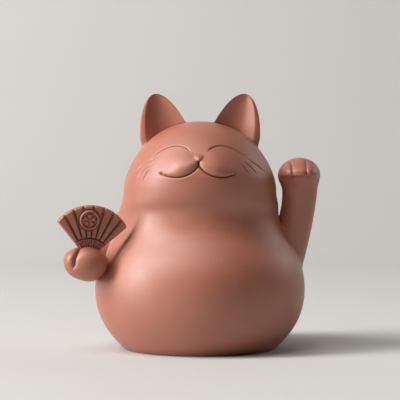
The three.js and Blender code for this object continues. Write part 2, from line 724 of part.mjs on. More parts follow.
function makeTail(bodyClear) {
  const path = new THREE.CubicBezierCurve3(
    beside(TAIL_ROOT_ANGLE, TAIL_ROOT_HEIGHT, -TAIL_ROOT_DEPTH),
    beside(TAIL_BEND_ANGLE, TAIL_ROOT_HEIGHT, TAIL_PROUD),
    beside(TAIL_CURL_ANGLE, TAIL_CURL_HEIGHT, TAIL_PROUD),
    beside(TAIL_TIP_ANGLE, TAIL_TIP_HEIGHT, TAIL_TIP_PROUD),
  );
  const middleRadius = (TAIL_ROOT_RADIUS + TAIL_TIP_RADIUS) / 2;
  const tail = limb(path, TAIL_ROOT_RADIUS, middleRadius, TAIL_TIP_RADIUS, new THREE.Vector3(0, 0, 1));
  return toMesh('tail', tail.subtract(bodyClear), clay);
}

const bodyClear = bodySolid(JOINT_GAP, FRONT_COLUMNS, BACK_COLUMNS, OUTER_ROWS);
const fanGroup = makeFanGroup();
const cat = new THREE.Group();
cat.add(
  ...makeShells(),
  makeBaseSlab(),
  makeSeamCoil(),
  makeEar('right_ear', CAT_RIGHT, bodyClear),
  makeEar('left_ear', CAT_LEFT, bodyClear),
  makeNose(bodyClear),
  makeRaisedArm(bodyClear),
  makeFanArm(bodyClear, fanGroup.matrix),
  makeTail(bodyClear),
  fanGroup,
);

export default cat;
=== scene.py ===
"""A beckoning cat tea pet of burnished, unglazed clay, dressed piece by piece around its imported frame.

Lengths are metres. +Z is up and the cat looks along -Y, so its own left side is +X.
"""

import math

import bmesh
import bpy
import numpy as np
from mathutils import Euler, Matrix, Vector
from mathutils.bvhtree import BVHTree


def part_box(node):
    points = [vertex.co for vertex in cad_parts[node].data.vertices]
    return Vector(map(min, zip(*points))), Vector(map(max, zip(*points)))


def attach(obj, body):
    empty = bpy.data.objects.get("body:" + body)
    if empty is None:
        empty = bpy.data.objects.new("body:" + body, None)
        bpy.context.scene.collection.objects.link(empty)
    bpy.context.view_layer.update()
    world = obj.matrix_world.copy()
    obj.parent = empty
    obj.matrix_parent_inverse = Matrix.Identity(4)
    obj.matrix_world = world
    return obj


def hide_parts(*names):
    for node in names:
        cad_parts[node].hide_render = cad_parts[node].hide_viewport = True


bl_info = {
    "name": "Beckoning Cat Tea Pet",
    "version": (1, 0, 0),
    "blender": (4, 5, 0),
    "location": "3D View > Sidebar > Clay Cat",
    "description": "Makes an unglazed clay cat with a raised paw and a folding fan, piece by piece",
    "category": "Add Mesh",
}

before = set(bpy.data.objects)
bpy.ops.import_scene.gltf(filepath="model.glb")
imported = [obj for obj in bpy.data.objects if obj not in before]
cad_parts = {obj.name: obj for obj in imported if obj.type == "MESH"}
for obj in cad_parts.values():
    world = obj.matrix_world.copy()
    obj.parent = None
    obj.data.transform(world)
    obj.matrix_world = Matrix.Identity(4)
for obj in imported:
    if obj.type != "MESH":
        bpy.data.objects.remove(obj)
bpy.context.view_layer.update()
front_low, front_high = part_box("front_shell")
_, back_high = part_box("back_shell")
_, slab_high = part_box("base_slab")

MM = 0.001
SIDE, FRONT, BACK = range(3)
CAT_LEFT, CAT_RIGHT = 1, -1
TINY = 1e-12

# Lines cut in the face, in millimetres from the middle of the face: across, then up
EYE_LINE = [(3.3, 3.6), (6.2, 6.2), (10.5, 5.6), (15.8, 1.6)]
MOUTH_LINE = [(0, -1.4), (3.2, -6.2), (9, -6.1), (12.7, -4.1)]
LEFT_WHISKERS = [
    [(16.9, 0.7), (18.8, -0.2), (20.8, -1.7), (22.5, -3.5)],
    [(15.3, -0.1), (16.9, -1.2), (18.4, -2.6), (19.5, -4.1)],
    [(14.1, -1.0), (15.2, -2.1), (16.3, -3.4), (17.1, -4.7)],
]
RIGHT_WHISKERS = [
    [(-15.2, 1.0), (-17.6, 0.2), (-19.8, -1.2), (-21.5, -3.2)],
    [(-15.2, -0.7), (-17.6, -1.7), (-19.7, -3.5), (-21.2, -6.0)],
    [(-16.3, -2.3), (-17.6, -3.4), (-18.7, -5.1), (-19.5, -7.5)],
]

# Middle lines of two limbs: degrees round from the front towards the cat's left, then millimetres up from
# the neck (arm) or the floor (tail) and out from the body
FAN_ARM_PATH = [(-86, 1, -8), (-92, -11, -1.5), (-85, -23.5, 3.2), (-63, -18.4, 8.2)]
TAIL_PATH = [(182, 9, -4), (177, 9, 3.2), (163, 15, 3.3), (159, 23, 1.6)]

# Groove beside the thumb, in millimetres from the middle of the paw that holds the fan: across, then up
FAN_PAW_GROOVE = [(-2.4, 5.8), (-3.9, 1.6), (-3.9, -2.2)]

# Fineness of the meshes
OUTLINE_SAMPLES = 1500
LINE_SAMPLES = 60
FACE_HALF_ANGLE = math.radians(62)
FACE_STEP = math.radians(0.3)
FLANK_GROWTH = 1.06
BACK_COLUMNS = 150
SEAM_STEP = math.radians(0.15)
BODY_ROWS = (14, 44, 14)
CROWN_ROWS = 22
BACK_ROWS = (16, 30, 12, 46)
MOUTH_ROWS, CHEEK_ROWS, BROW_ROWS = 26, 46, 24
HOLLOW_COLUMNS, HOLLOW_ROWS = 48, 34
LIMB_COLUMNS, LIMB_ROWS, DOME_ROWS = 192, 96, 40
EAR_COLUMNS, EAR_ROWS = 160, 72
WELD_DISTANCE = 1e-7
CREASE_ANGLE = math.radians(62)


# Properties

def linear(hex_colour):
    """Linear RGB of an sRGB hex colour."""
    channels = [int(hex_colour[k:k + 2], 16) / 255 for k in (1, 3, 5)]
    return tuple(c / 12.92 if c <= 0.04045 else ((c + 0.055) / 1.055) ** 2.4 for c in channels)


def length(name, millimetres, description):
    return bpy.props.FloatProperty(
        name=name, description=description, default=millimetres * MM, precision=5, unit="LENGTH")


def lengths(name, millimetres, description):
    return bpy.props.FloatVectorProperty(
        name=name, description=description, default=[value * MM for value in millimetres],
        size=len(millimetres), precision=5, unit="LENGTH")


def angle(name, degrees, description):
    return bpy.props.FloatProperty(
        name=name, description=description, default=math.radians(degrees), unit="ROTATION")


def colour(name, hex_colour, description):
    return bpy.props.FloatVectorProperty(
        name=name, description=description, default=linear(hex_colour), size=3, min=0, max=1,
        subtype="COLOR")


class ClayCatBody(bpy.types.PropertyGroup):
    """Outline and hollow of the body"""

    foot: lengths("Foot", (26.5, 25.5, 25.5), "Half-widths of the foot to the side, front and back")
    belly: lengths(
        "Belly", (front_high.x / MM, -front_low.y / MM, back_high.y / MM),
        "Half-widths of the belly to the side, front and back")
    neck: lengths("Neck", (27.6, 24.8, 26.4), "Half-widths of the neck to the side, front and back")
    cheek: lengths("Cheek", (26.9, 27.4, 26.6), "Half-widths of the head to the side, front and back")
    belly_height: length("Belly height", 21, "Height of the widest part of the belly")
    neck_height: length("Neck height", 49, "Height of the narrowest part of the neck")
    cheek_height: length("Cheek height", 55.5, "Height of the widest part of the head")
    throat_height: length("Throat height", 47, "Height of the deepest part of the throat, in front")
    face_height: length("Face fullness", 59, "Height of the fullest part of the face")
    crown_height: length("Crown height", front_high.z / MM, "Height of the top of the head")
    foot_flare: length("Foot flare", 6.4, "How far the side leans out just over the foot")
    foot_lift: length("Foot lift", 5.6, "Height of that lean")
    belly_under: length("Belly under", 9, "How far the belly's round reaches down")
    belly_over: length("Belly over", 13.1, "How far the belly's round reaches up")
    neck_under: length("Neck under", 9.4, "How far the neck's round reaches down")
    throat_under: length("Throat under", 11, "How far the throat's round reaches down")
    throat_over: length("Throat over", 3.5, "How far the throat's round reaches up")
    jaw_under: length("Jaw under", 8, "How far the jaw's round reaches down")
    cheek_over: length("Cheek over", 7, "How far the cheek's round reaches up")
    crown_round: length("Crown round", 19, "How far the crown's round reaches sideways")
    wall: length("Wall", 4.5, "Thickness of the pressed clay")
    foot_round: length("Foot round", 0.45, "Rounded edge of the foot")
    slab_radius: length("Slab radius", slab_high.x / MM, "Radius of the slab that closes the foot")
    slab_thickness: length("Slab thickness", slab_high.z / MM, "Thickness of that slab")
    slab_round: length("Slab round", 0.5, "Rounded edges of that slab")
    joint_gap: length("Joint gap", 0.3, "Slip between the slab and the foot")
    ledge_width: length("Ledge width", 2.8, "Width of the ledge that the slab lies against")
    ledge_thickness: length("Ledge thickness", 2.5, "Thickness of that ledge")
    vent_radius: length("Vent radius", 4, "Radius of the hole that lets air out in the kiln")
    vent_offset: length("Vent offset", 13, "How far that hole lies behind the middle")
    coil_radius: length("Coil radius", 1.8, "Radius of the coil pressed over the seam inside")
    coil_foot_gap: length("Coil foot gap", 3, "Height of the coil's ends over the floor of the hollow")
    coil_press: length("Coil press", 5, "Distance between the finger marks along that coil")


class ClayCatFace(bpy.types.PropertyGroup):
    """Relief of the face"""

    middle_height: length("Face height", 65, "Height of the middle of the face")
    shift: length("Face shift", -0.4, "How far the face lies to the cat's left of the middle")
    lobe_height: length("Muzzle height", 1.25, "How far the two lobes of the muzzle stand out")
    lobe_middle: length("Muzzle middle", 5.5, "Distance from the middle to the fullest part of a lobe")
    lobe_reach: length("Muzzle reach", 13.6, "Distance from the middle to the end of a lobe")
    lobe_crest: length("Muzzle crest", 2.7, "Distance from the mouth up to the fullest part of a lobe")
    lobe_top: lengths(
        "Muzzle top", (2.6, 4.6), "Height where a lobe runs out, in the middle and at its fullest")
    mouth_depth: length("Mouth depth", 0.55, "Depth of the mouth line")
    lip_width: length("Lip width", 0.6, "Width of the slope under the mouth line")
    lip_swell: length("Lip swell", 0.14, "Swelling of the lower lip")
    pit_depth: length("Corner pit", 0.5, "Depth of the pit at the right corner of the mouth")
    eye_depth: length("Eye depth", 0.6, "Depth of the eye lines at their inner ends")
    eye_width: lengths(
        "Eye width", (0.27, 0.08), "Half-width of the eye lines over and under their deepest part")
    whisker_depth: length("Whisker depth", 0.36, "Depth of the whisker lines")
    whisker_width: length("Whisker width", 0.17, "Half-width of the whisker lines")
    nose_lift: length("Nose lift", 1.25, "Height of the nose over the middle of the face")
    nose: lengths("Nose", (2.05, 1.5, 0.95), "Half-width, half-height and depth of the nose")


class ClayCatLimbs(bpy.types.PropertyGroup):
    """Ears, arms and tail"""

    ear_spacing: length("Ear spacing", 25.4, "Distance between the roots of the ears")
    ear_sink: length("Ear sink", 1.1, "Depth of the ear's root under the crown")
    ear_height: length("Ear height", 14.3, "Height of an ear over its root")
    ear_half_width: length("Ear half-width", 8.7, "Half-width of an ear at its root")
    ear_lean: angle("Ear lean", 14.5, "Lean of the ears away from each other")
    ear_back: length("Ear back", 4, "How far an ear bulges behind its rim")
    ear_rim: length("Ear rim", 1.9, "How far the rim stands forward")
    ear_wall: length("Ear wall", 2, "Thickness of an ear in its hollow")
    ear_root: length("Ear root", 6, "Length of the ear under its root")
    arm_radii: lengths("Arm radii", (7.8, 6, 6.9), "Radius of the raised arm at the root, middle and wrist")
    paw: lengths("Raised paw", (7.1, 7, 6.1), "Half-width, half-depth and half-height of the raised paw")
    paw_overhang: length("Paw overhang", 1.6, "How far the toes hang over the forearm")
    toe_spacing: length("Toe spacing", 2.67, "Distance of the toe grooves from the paw's middle")
    toe_shift: length("Toe shift", -0.6, "How far the toe grooves lie to the cat's left")
    toe_depth: length("Toe depth", 0.8, "Depth of the toe grooves")
    toe_width: length("Toe width", 0.38, "Half-width of the toe grooves")
    fan_arm_radii: lengths(
        "Fan arm radii", (5.4, 5.5, 5.5), "Radius of the fan arm at the root, middle and wrist")
    fan_paw: lengths("Fan paw", (7.3, 6.1, 5.9), "Half-width, half-depth and half-height of the fan paw")
    tail_radii: lengths("Tail radii", (4.4, 3.8, 3.2), "Radius of the tail at its root, middle and tip")


class ClayCatFan(bpy.types.PropertyGroup):
    """Folding fan and its roundel"""

    reach: length("Fan reach", 18.75, "Distance from the pivot to the top of the fan")
    edge_radius: length("Edge radius", 14.5, "Radius of the fan's round edge")
    half_spread: angle("Half spread", 44.6, "Half of the angle that the fan is opened to")
    thickness: length("Thickness", 1.9, "Thickness of the fan")
    tang: length("Tang", 2, "Distance from the pivot to the end inside the paw")
    lean: angle("Lean", 9, "Lean of the fan towards the viewer")
    tilt: angle("Tilt", 5.2, "Tilt of the fan towards the body")
    turn: angle("Turn", 15, "Turn of the fan's face towards the middle")
    pivot: lengths("Pivot", (0.6, 0, 1.2), "Place of the pivot from the middle of the paw")
    slats: bpy.props.IntProperty(name="Slats", description="Number of slats in the fan", default=8, min=2)
    slat_depth: length("Slat depth", 0.9, "How far a slat stands out of the grooves beside it")
    band_low: length("Band foot", 4.6, "Distance from the pivot to the foot of the ribbed band")
    band_high: length("Band top", 7.2, "Distance from the pivot to the top of the ribbed band")
    ribs: bpy.props.IntProperty(name="Ribs", description="Number of ribs in the band", default=10, min=2)
    edge_round: length("Edge round", 0.55, "Rounding of the fan's edges")
    corner_round: length("Corner round", 1.1, "Rounding of the fan's two corners")
    roundel_place: lengths(
        "Roundel place", (-1.3, 13.8), "Place of the roundel across and up from the pivot")
    roundel_radius: length("Roundel radius", 3.4, "Radius of the roundel")
    petals: bpy.props.IntProperty(name="Petals", description="Petals of the blossom", default=5, min=3)


class ClayCatFinish(bpy.types.PropertyGroup):
    """Colours of the clay"""

    clay: colour("Clay", "#a8644c", "Burnished red-brown clay")
    clay_deep: colour("Deep clay", "#98563f", "Darker clouds in the clay")
    clay_pale: colour("Pale clay", "#b6715a", "Paler clouds in the clay")
    grain: colour("Grain", "#c99276", "Sand grains")
    iron: colour("Iron", "#5e3426", "Iron specks")
    # Painted shade: this colour is laid into the lines and creases where ambient occlusion finds them
    # hidden, standing in for their shadow
    painted_crease_shade: colour("Crease_shade", "#6f3c2c", "Tea stain in the lines")
    fan_clay: colour("Fan clay", "#9c5a45", "Clay pressed in the fan's mould")
    base_clay: colour("Base clay", "#9a5a45", "Scraped clay of the base")
    floor: colour("Floor", "#c6c3bf", "Pale floor")


# Curves and meshes

def bezier(points, t):
    """Points of a Bezier curve of any order."""
    points = np.asarray(points, float)
    t = np.asarray(t, float)[..., None]
    order = len(points) - 1
    terms = [math.comb(order, k) * t**k * (1 - t) ** (order - k) * points[k] for k in range(order + 1)]
    return sum(terms)


def unit(vectors):
    return vectors / np.maximum(np.linalg.norm(vectors, axis=-1, keepdims=True), TINY)


def dot(one, other):
    return np.sum(one * other, axis=-1, keepdims=True)


def ramp(values, start, end):
    """Goes smoothly from 0 at start to 1 at end."""
    share = np.clip((values - start) / (end - start), 0, 1)
    return share * share * (3 - 2 * share)


def bell(values, width):
    """1 at zero, falling smoothly to nothing a few widths away."""
    return np.exp(-((values / width) ** 2))


def crease(values, width):
    """1 at zero, falling from a sharp point there, for valleys between rounded swellings."""
    return np.exp(-np.abs(values) / width)


def dome(values):
    """A quarter circle: rises steeply from 0 at 0 and is level at 1 from there on."""
    return np.sqrt(1 - (1 - np.clip(values, 0, 1)) ** 2)


def round_turns(columns):
    """Angles of columns set evenly round a circle."""
    return 2 * math.pi * np.arange(columns) / columns


def gather_ends(shares, even):
    """Shares of a stretch drawn towards both its ends, the less so the nearer even is to 1."""
    return even * shares + (1 - even) * (1 - np.cos(math.pi * shares)) / 2


class Skin:
    """Points and faces of one piece while it is made."""

    def __init__(self):
        self.points = np.zeros((0, 3))
        self.faces = []

    def add(self, points):
        """Takes in an array of points and returns their numbers in the same layout."""
        points = np.asarray(points, float)
        first = len(self.points)
        self.points = np.vstack([self.points, points.reshape(-1, 3)])
        return np.arange(first, len(self.points)).reshape(points.shape[:-1])

    def cover(self, numbers, closed=True):
        """Lays four-sided faces over a grid of point numbers, joined up sideways or not."""
        if closed:
            numbers = np.column_stack([numbers, numbers[:, 0]])
        corners = [numbers[:-1, :-1], numbers[:-1, 1:], numbers[1:, 1:], numbers[1:, :-1]]
        self.faces += np.stack(corners, axis=-1).reshape(-1, 4).tolist()

    def close(self, ring, tip, closed=True):
        """Closes a ring of point numbers with triangles to one more point, whose number it returns."""
        number = int(self.add(tip))
        ring = [*ring, ring[0]] if closed else list(ring)
        self.faces += [[one, other, number] for one, other in zip(ring, ring[1:])]
        return number

    def make(self, node, slot, material):
        """Makes the object that stands for a node of the frame."""
        mesh = bpy.data.meshes.new(f"{node}_clay")
        mesh.from_pydata(self.points.tolist(), [], [list(map(int, face)) for face in self.faces])
        work = bmesh.new()
        work.from_mesh(mesh)
        bmesh.ops.remove_doubles(work, verts=work.verts, dist=WELD_DISTANCE)
        bmesh.ops.recalc_face_normals(work, faces=work.faces)
        work.to_mesh(mesh)
        work.free()
        mesh.shade_smooth()
        mesh.set_sharp_from_angle(angle=CREASE_ANGLE)
        mesh.materials.append(material)
        piece = bpy.data.objects.new(mesh.name, mesh)
        bpy.context.collection.objects.link(piece)
        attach(piece, "root")
        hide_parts(node)


def loft(grid, start, tip):
    """A closed skin over rings of points, with a point closing each end."""
    skin = Skin()
    numbers = skin.add(grid)
    skin.cover(numbers)
    skin.close(numbers[0], start)
    skin.close(numbers[-1], tip)
    return skin


def ring_rays(axis, across, columns):
    """Directions round each point of a line, carried along it without twist."""
    tangents = unit(np.gradient(axis, axis=0))
    sides = []
    side = np.asarray(across, float)
    for tangent in tangents:
        side = unit(side - tangent * np.dot(side, tangent))
        sides.append(side)
    sides = np.array(sides)
    ups = np.cross(tangents, sides)
    turns = round_turns(columns)[None, :, None]
    return sides[:, None] * np.cos(turns) + ups[:, None] * np.sin(turns)


def reach_in_ball(starts, rays, centre, half_sizes):
    """How far rays run from their starts to the far side of an upright ellipsoid, 0 where they miss."""
    offset = (starts - centre) / half_sizes
    way = rays / half_sizes
    a, b, c = dot(way, way), dot(offset, way), dot(offset, offset) - 1
    root = b * b - a * c
    return np.where(root > 0, np.maximum(0, (np.sqrt(np.maximum(root, 0)) - b) / a), 0)[..., 0]


def three_step(values, t):
    """A smooth run through three values, at the start, the middle and the end."""
    first, middle, last = values
    return first * (2 * t - 1) * (t - 1) + middle * 4 * t * (1 - t) + last * t * (2 * t - 1)


def limb(path, radii, across, paw=None):
    """Rings along a limb from its root to its domed end or paw, and the point at the very end."""
    joint_sharpness = 12
    t = np.linspace(0, 1, LIMB_ROWS)
    centre = np.asarray(path[-1], float)
    tangent = unit(centre - np.asarray(path[-2], float))
    reach = radii[-1] if paw is None else 1 / np.linalg.norm(tangent / np.asarray(paw))
    turns = np.linspace(0, math.pi / 2, DOME_ROWS + 2)[1:-1]
    axis = np.vstack([bezier(path, t), centre + tangent * (reach * np.sin(turns))[:, None]])
    spread = np.concatenate([three_step(radii, t), radii[-1] * np.cos(turns)])[:, None]
    rays = ring_rays(axis, across, LIMB_COLUMNS)
    if paw is not None:
        ball = reach_in_ball(axis[:, None], rays, centre, np.asarray(paw))
        spread = (spread**joint_sharpness + ball**joint_sharpness) ** (1 / joint_sharpness)
    return axis[:, None] + rays * (spread * np.ones(LIMB_COLUMNS))[..., None], centre + tangent * reach


def ring_normals(grid):
    """Ways out of a skin of rings, at each of its points."""
    along = np.gradient(grid, axis=0)
    around = np.roll(grid, -1, axis=1) - np.roll(grid, 1, axis=1)
    normals = unit(np.cross(along, around))
    outward = np.sum(normals * (grid - grid.mean(axis=1, keepdims=True)))
    return normals * np.sign(outward)


# Body

class Body:
    """The round clay body. Its three outlines share their heights, and its loops are half ellipses."""

    def __init__(self, sizes):
        self.sizes = sizes
        t = np.linspace(0, 1, OUTLINE_SAMPLES)
        outlines = []
        for view in (SIDE, FRONT, BACK):
            bends = [bezier(bend, t) for bend in self.bends(view)]
            outlines.append(np.vstack([bends[0], *[bend[1:] for bend in bends[1:]]]))
        self.heights = outlines[SIDE][:, 1]
        self.radii = np.array([
            np.interp(self.heights, outline[:, 1], outline[:, 0]) for outline in outlines])
        self.slopes = np.gradient(self.radii, axis=1) / np.maximum(np.gradient(self.heights), TINY)
        self.tree = None

    def bends(self, view):
        """The outline's four curves, from the foot to the crown."""
        s = self.sizes
        foot, belly, neck, cheek = s.foot[view], s.belly[view], s.neck[view], s.cheek[view]
        if view == FRONT:
            narrow, fullest = s.throat_height, s.face_height
            under, over, jaw = s.throat_under, s.throat_over, s.jaw_under
        else:
            narrow, fullest, under = s.neck_height, s.cheek_height, s.neck_under
            over = jaw = (fullest - narrow) / 2
        return [
            [(foot, 0), (foot + s.foot_flare, s.foot_lift),
             (belly, s.belly_height - s.belly_under), (belly, s.belly_height)],
            [(belly, s.belly_height), (belly, s.belly_height + s.belly_over),
             (neck, narrow - under), (neck, narrow)],
            [(neck, narrow), (neck, narrow + over), (cheek, fullest - jaw), (cheek, fullest)],
            [(cheek, fullest), (cheek, s.cheek_height + s.cheek_over),
             (s.crown_round, s.crown_height), (0, s.crown_height)],
        ]

    def bend_rows(self, bend, count, start=0.0):
        """Heights along one bend, without its end."""
        t = np.linspace(start, 1, count, endpoint=False)
        return bezier(self.bends(SIDE)[bend], t)[:, 1]

    def radius(self, view, heights):
        return np.interp(heights, self.heights, self.radii[view])

    def point(self, angles, heights):
        """Points of the outside, at angles from the front towards the cat's left."""
        angles, heights = np.broadcast_arrays(angles, heights)
        forward = np.cos(angles) > 0
        depth = np.where(forward, self.radius(FRONT, heights), self.radius(BACK, heights))
        across = self.radius(SIDE, heights) * np.sin(angles)
        return np.stack([across, -depth * np.cos(angles), heights], axis=-1)

    def way_out(self, spots):
        """Directions out of the body at places on its outside."""
        x, y, z = np.moveaxis(spots, -1, 0)
        views = [(x, SIDE, np.ones(x.shape, bool)), (y, FRONT, y < 0), (y, BACK, y >= 0)]
        normal = np.zeros(spots.shape)
        for run, view, here in views:
            radius = np.maximum(self.radius(view, z), TINY)
            slope = np.interp(z, self.heights, self.slopes[view])
            normal[..., 0 if view == SIDE else 1] += np.where(here, run / radius**2, 0)
            normal[..., 2] -= np.where(here, run**2 * slope / radius**3, 0)
        return unit(normal)

    def beside(self, degrees, height, offset):
        """A point beside the body, at an angle from the front towards the cat's left, moved out level."""
        turn = math.radians(degrees)
        width = self.radius(SIDE, height)
        depth = self.radius(FRONT if math.cos(turn) > 0 else BACK, height)
        out = unit(np.array([math.sin(turn) / width, -math.cos(turn) / depth, 0]))
        return np.array([width * math.sin(turn), -depth * math.cos(turn), height]) + out * offset

    def path(self, places, floor):
        """Points beside the body, from degrees round it and millimetres up from a floor and out."""
        return [self.beside(degrees, floor + up * MM, out * MM) for degrees, up, out in places]

    def inner_radius(self, view, heights, depth):
        """Half-widths, at heights inside the body, of a skin that lies a depth under its outside."""
        run, rise = np.gradient(self.radii[view]), np.gradient(self.heights)
        size = np.hypot(run, rise)
        inner_heights = self.heights + depth * run / size
        return np.interp(heights, inner_heights, self.radii[view] - depth * rise / size)

    def crown_height_at(self, across):
        """Height of the top of the head at a distance from the middle, on its widest line."""
        top = self.heights > self.sizes.cheek_height
        return np.interp(across, self.radii[SIDE][top][::-1], self.heights[top][::-1])

    def nearest(self, points):
        """The ways out of the body at the places nearest to points, and how far outside each point lies."""
        columns, rows = 240, 200
        if self.tree is None:
            angles = round_turns(columns)
            picked = np.linspace(0, len(self.heights) - 2, rows).astype(int)
            skin = Skin()
            numbers = skin.add(self.point(angles[None], self.heights[picked][:, None]))
            skin.cover(numbers)
            skin.close(numbers[-1], (0, 0, self.sizes.crown_height))
            self.tree = BVHTree.FromPolygons(skin.points.tolist(), skin.faces)
        spots = np.array([self.tree.find_nearest(Vector(point))[0] for point in points.reshape(-1, 3)])
        spots = spots.reshape(points.shape)
        normals = self.way_out(spots)
        return normals, dot(points - spots, normals)

    def lute(self, grid, blend):
        """Presses rings onto the body as a potter lutes a limb: what lies inside is laid against the
        outside, and the clay runs out over the join in a fillet of the given size."""
        sink, thinning = 0.015 * MM, 0.6
        normals, gaps = self.nearest(grid)
        blend = np.broadcast_to(blend, gaps.shape[:2])[..., None]
        outside = np.flatnonzero((gaps > -blend).any(axis=(1, 2)))
        first = max(0, outside[0] - 1)
        grid, normals, gaps, blend = grid[first:], normals[first:], gaps[first:], blend[first:]
        share = np.clip((blend - gaps) / (2 * blend), 0, 1)
        lifted = np.where(gaps > blend, gaps, np.maximum(0, gaps + blend) ** 2 / (4 * blend))
        lifted = np.where(gaps < -blend, 0, lifted) * (1 - thinning * share**2) - sink * share
        away = unit(grid - grid.mean(axis=1, keepdims=True))
        away = away - normals * dot(away, normals)
        spread = grid + away * blend * share**2
        normals, gaps = self.nearest(spread)
        return spread + normals * (lifted - gaps)


def half_shell(body, angles, heights, lift):
    """One half of the hollow body, with its flat seam face. lift raises each point of the outside."""
    s = body.sizes
    foot = body.point(angles, np.zeros(len(angles)))
    inward = -unit(foot * (1, 1, 0))
    edge = [foot + inward * s.foot_round, foot + inward * s.foot_round / 4 + (0, 0, s.foot_round / 8)]
    outside = body.point(angles[None], heights)
    outside = np.vstack([edge, outside + body.way_out(outside) * lift[..., None]])
    coarse = np.linspace(angles[0], angles[-1], HOLLOW_COLUMNS)
    floor = s.slab_thickness + s.ledge_thickness
    seat = [
        (s.slab_radius + s.joint_gap, 0),
        (s.slab_radius + s.joint_gap, s.slab_thickness),
        (s.slab_radius - s.ledge_width, s.slab_thickness),
        (s.slab_radius - s.ledge_width, floor),
    ]
    rise = np.sin(np.linspace(0, math.pi / 2, HOLLOW_ROWS, endpoint=False))
    inner_heights = floor + (s.crown_height - s.wall - floor) * rise
    side, front, back = [body.inner_radius(view, inner_heights, s.wall) for view in (SIDE, FRONT, BACK)]
    depth = front if math.cos(angles[len(angles) // 2]) > 0 else back
    rows = [(radius, radius, height) for radius, height in seat] + list(zip(side, depth, inner_heights))
    inside = np.array([[(width * math.sin(a), -reach * math.cos(a), height) for a in coarse]
                       for width, reach, height in rows])
    skin = Skin()
    outer, inner = skin.add(outside), skin.add(inside)
    skin.cover(outer, closed=False)
    skin.cover(inner, closed=False)
    crown = skin.close(outer[-1], (0, 0, s.crown_height), closed=False)
    vault = skin.close(inner[-1], (0, 0, s.crown_height - s.wall), closed=False)
    skin.faces.append([*outer[0], *inner[0][::-1]])
    skin.faces.append([*outer[:, 0], crown, *outer[::-1, -1], *inner[:, -1], vault, *inner[::-1, 0]])
    return skin


# Face

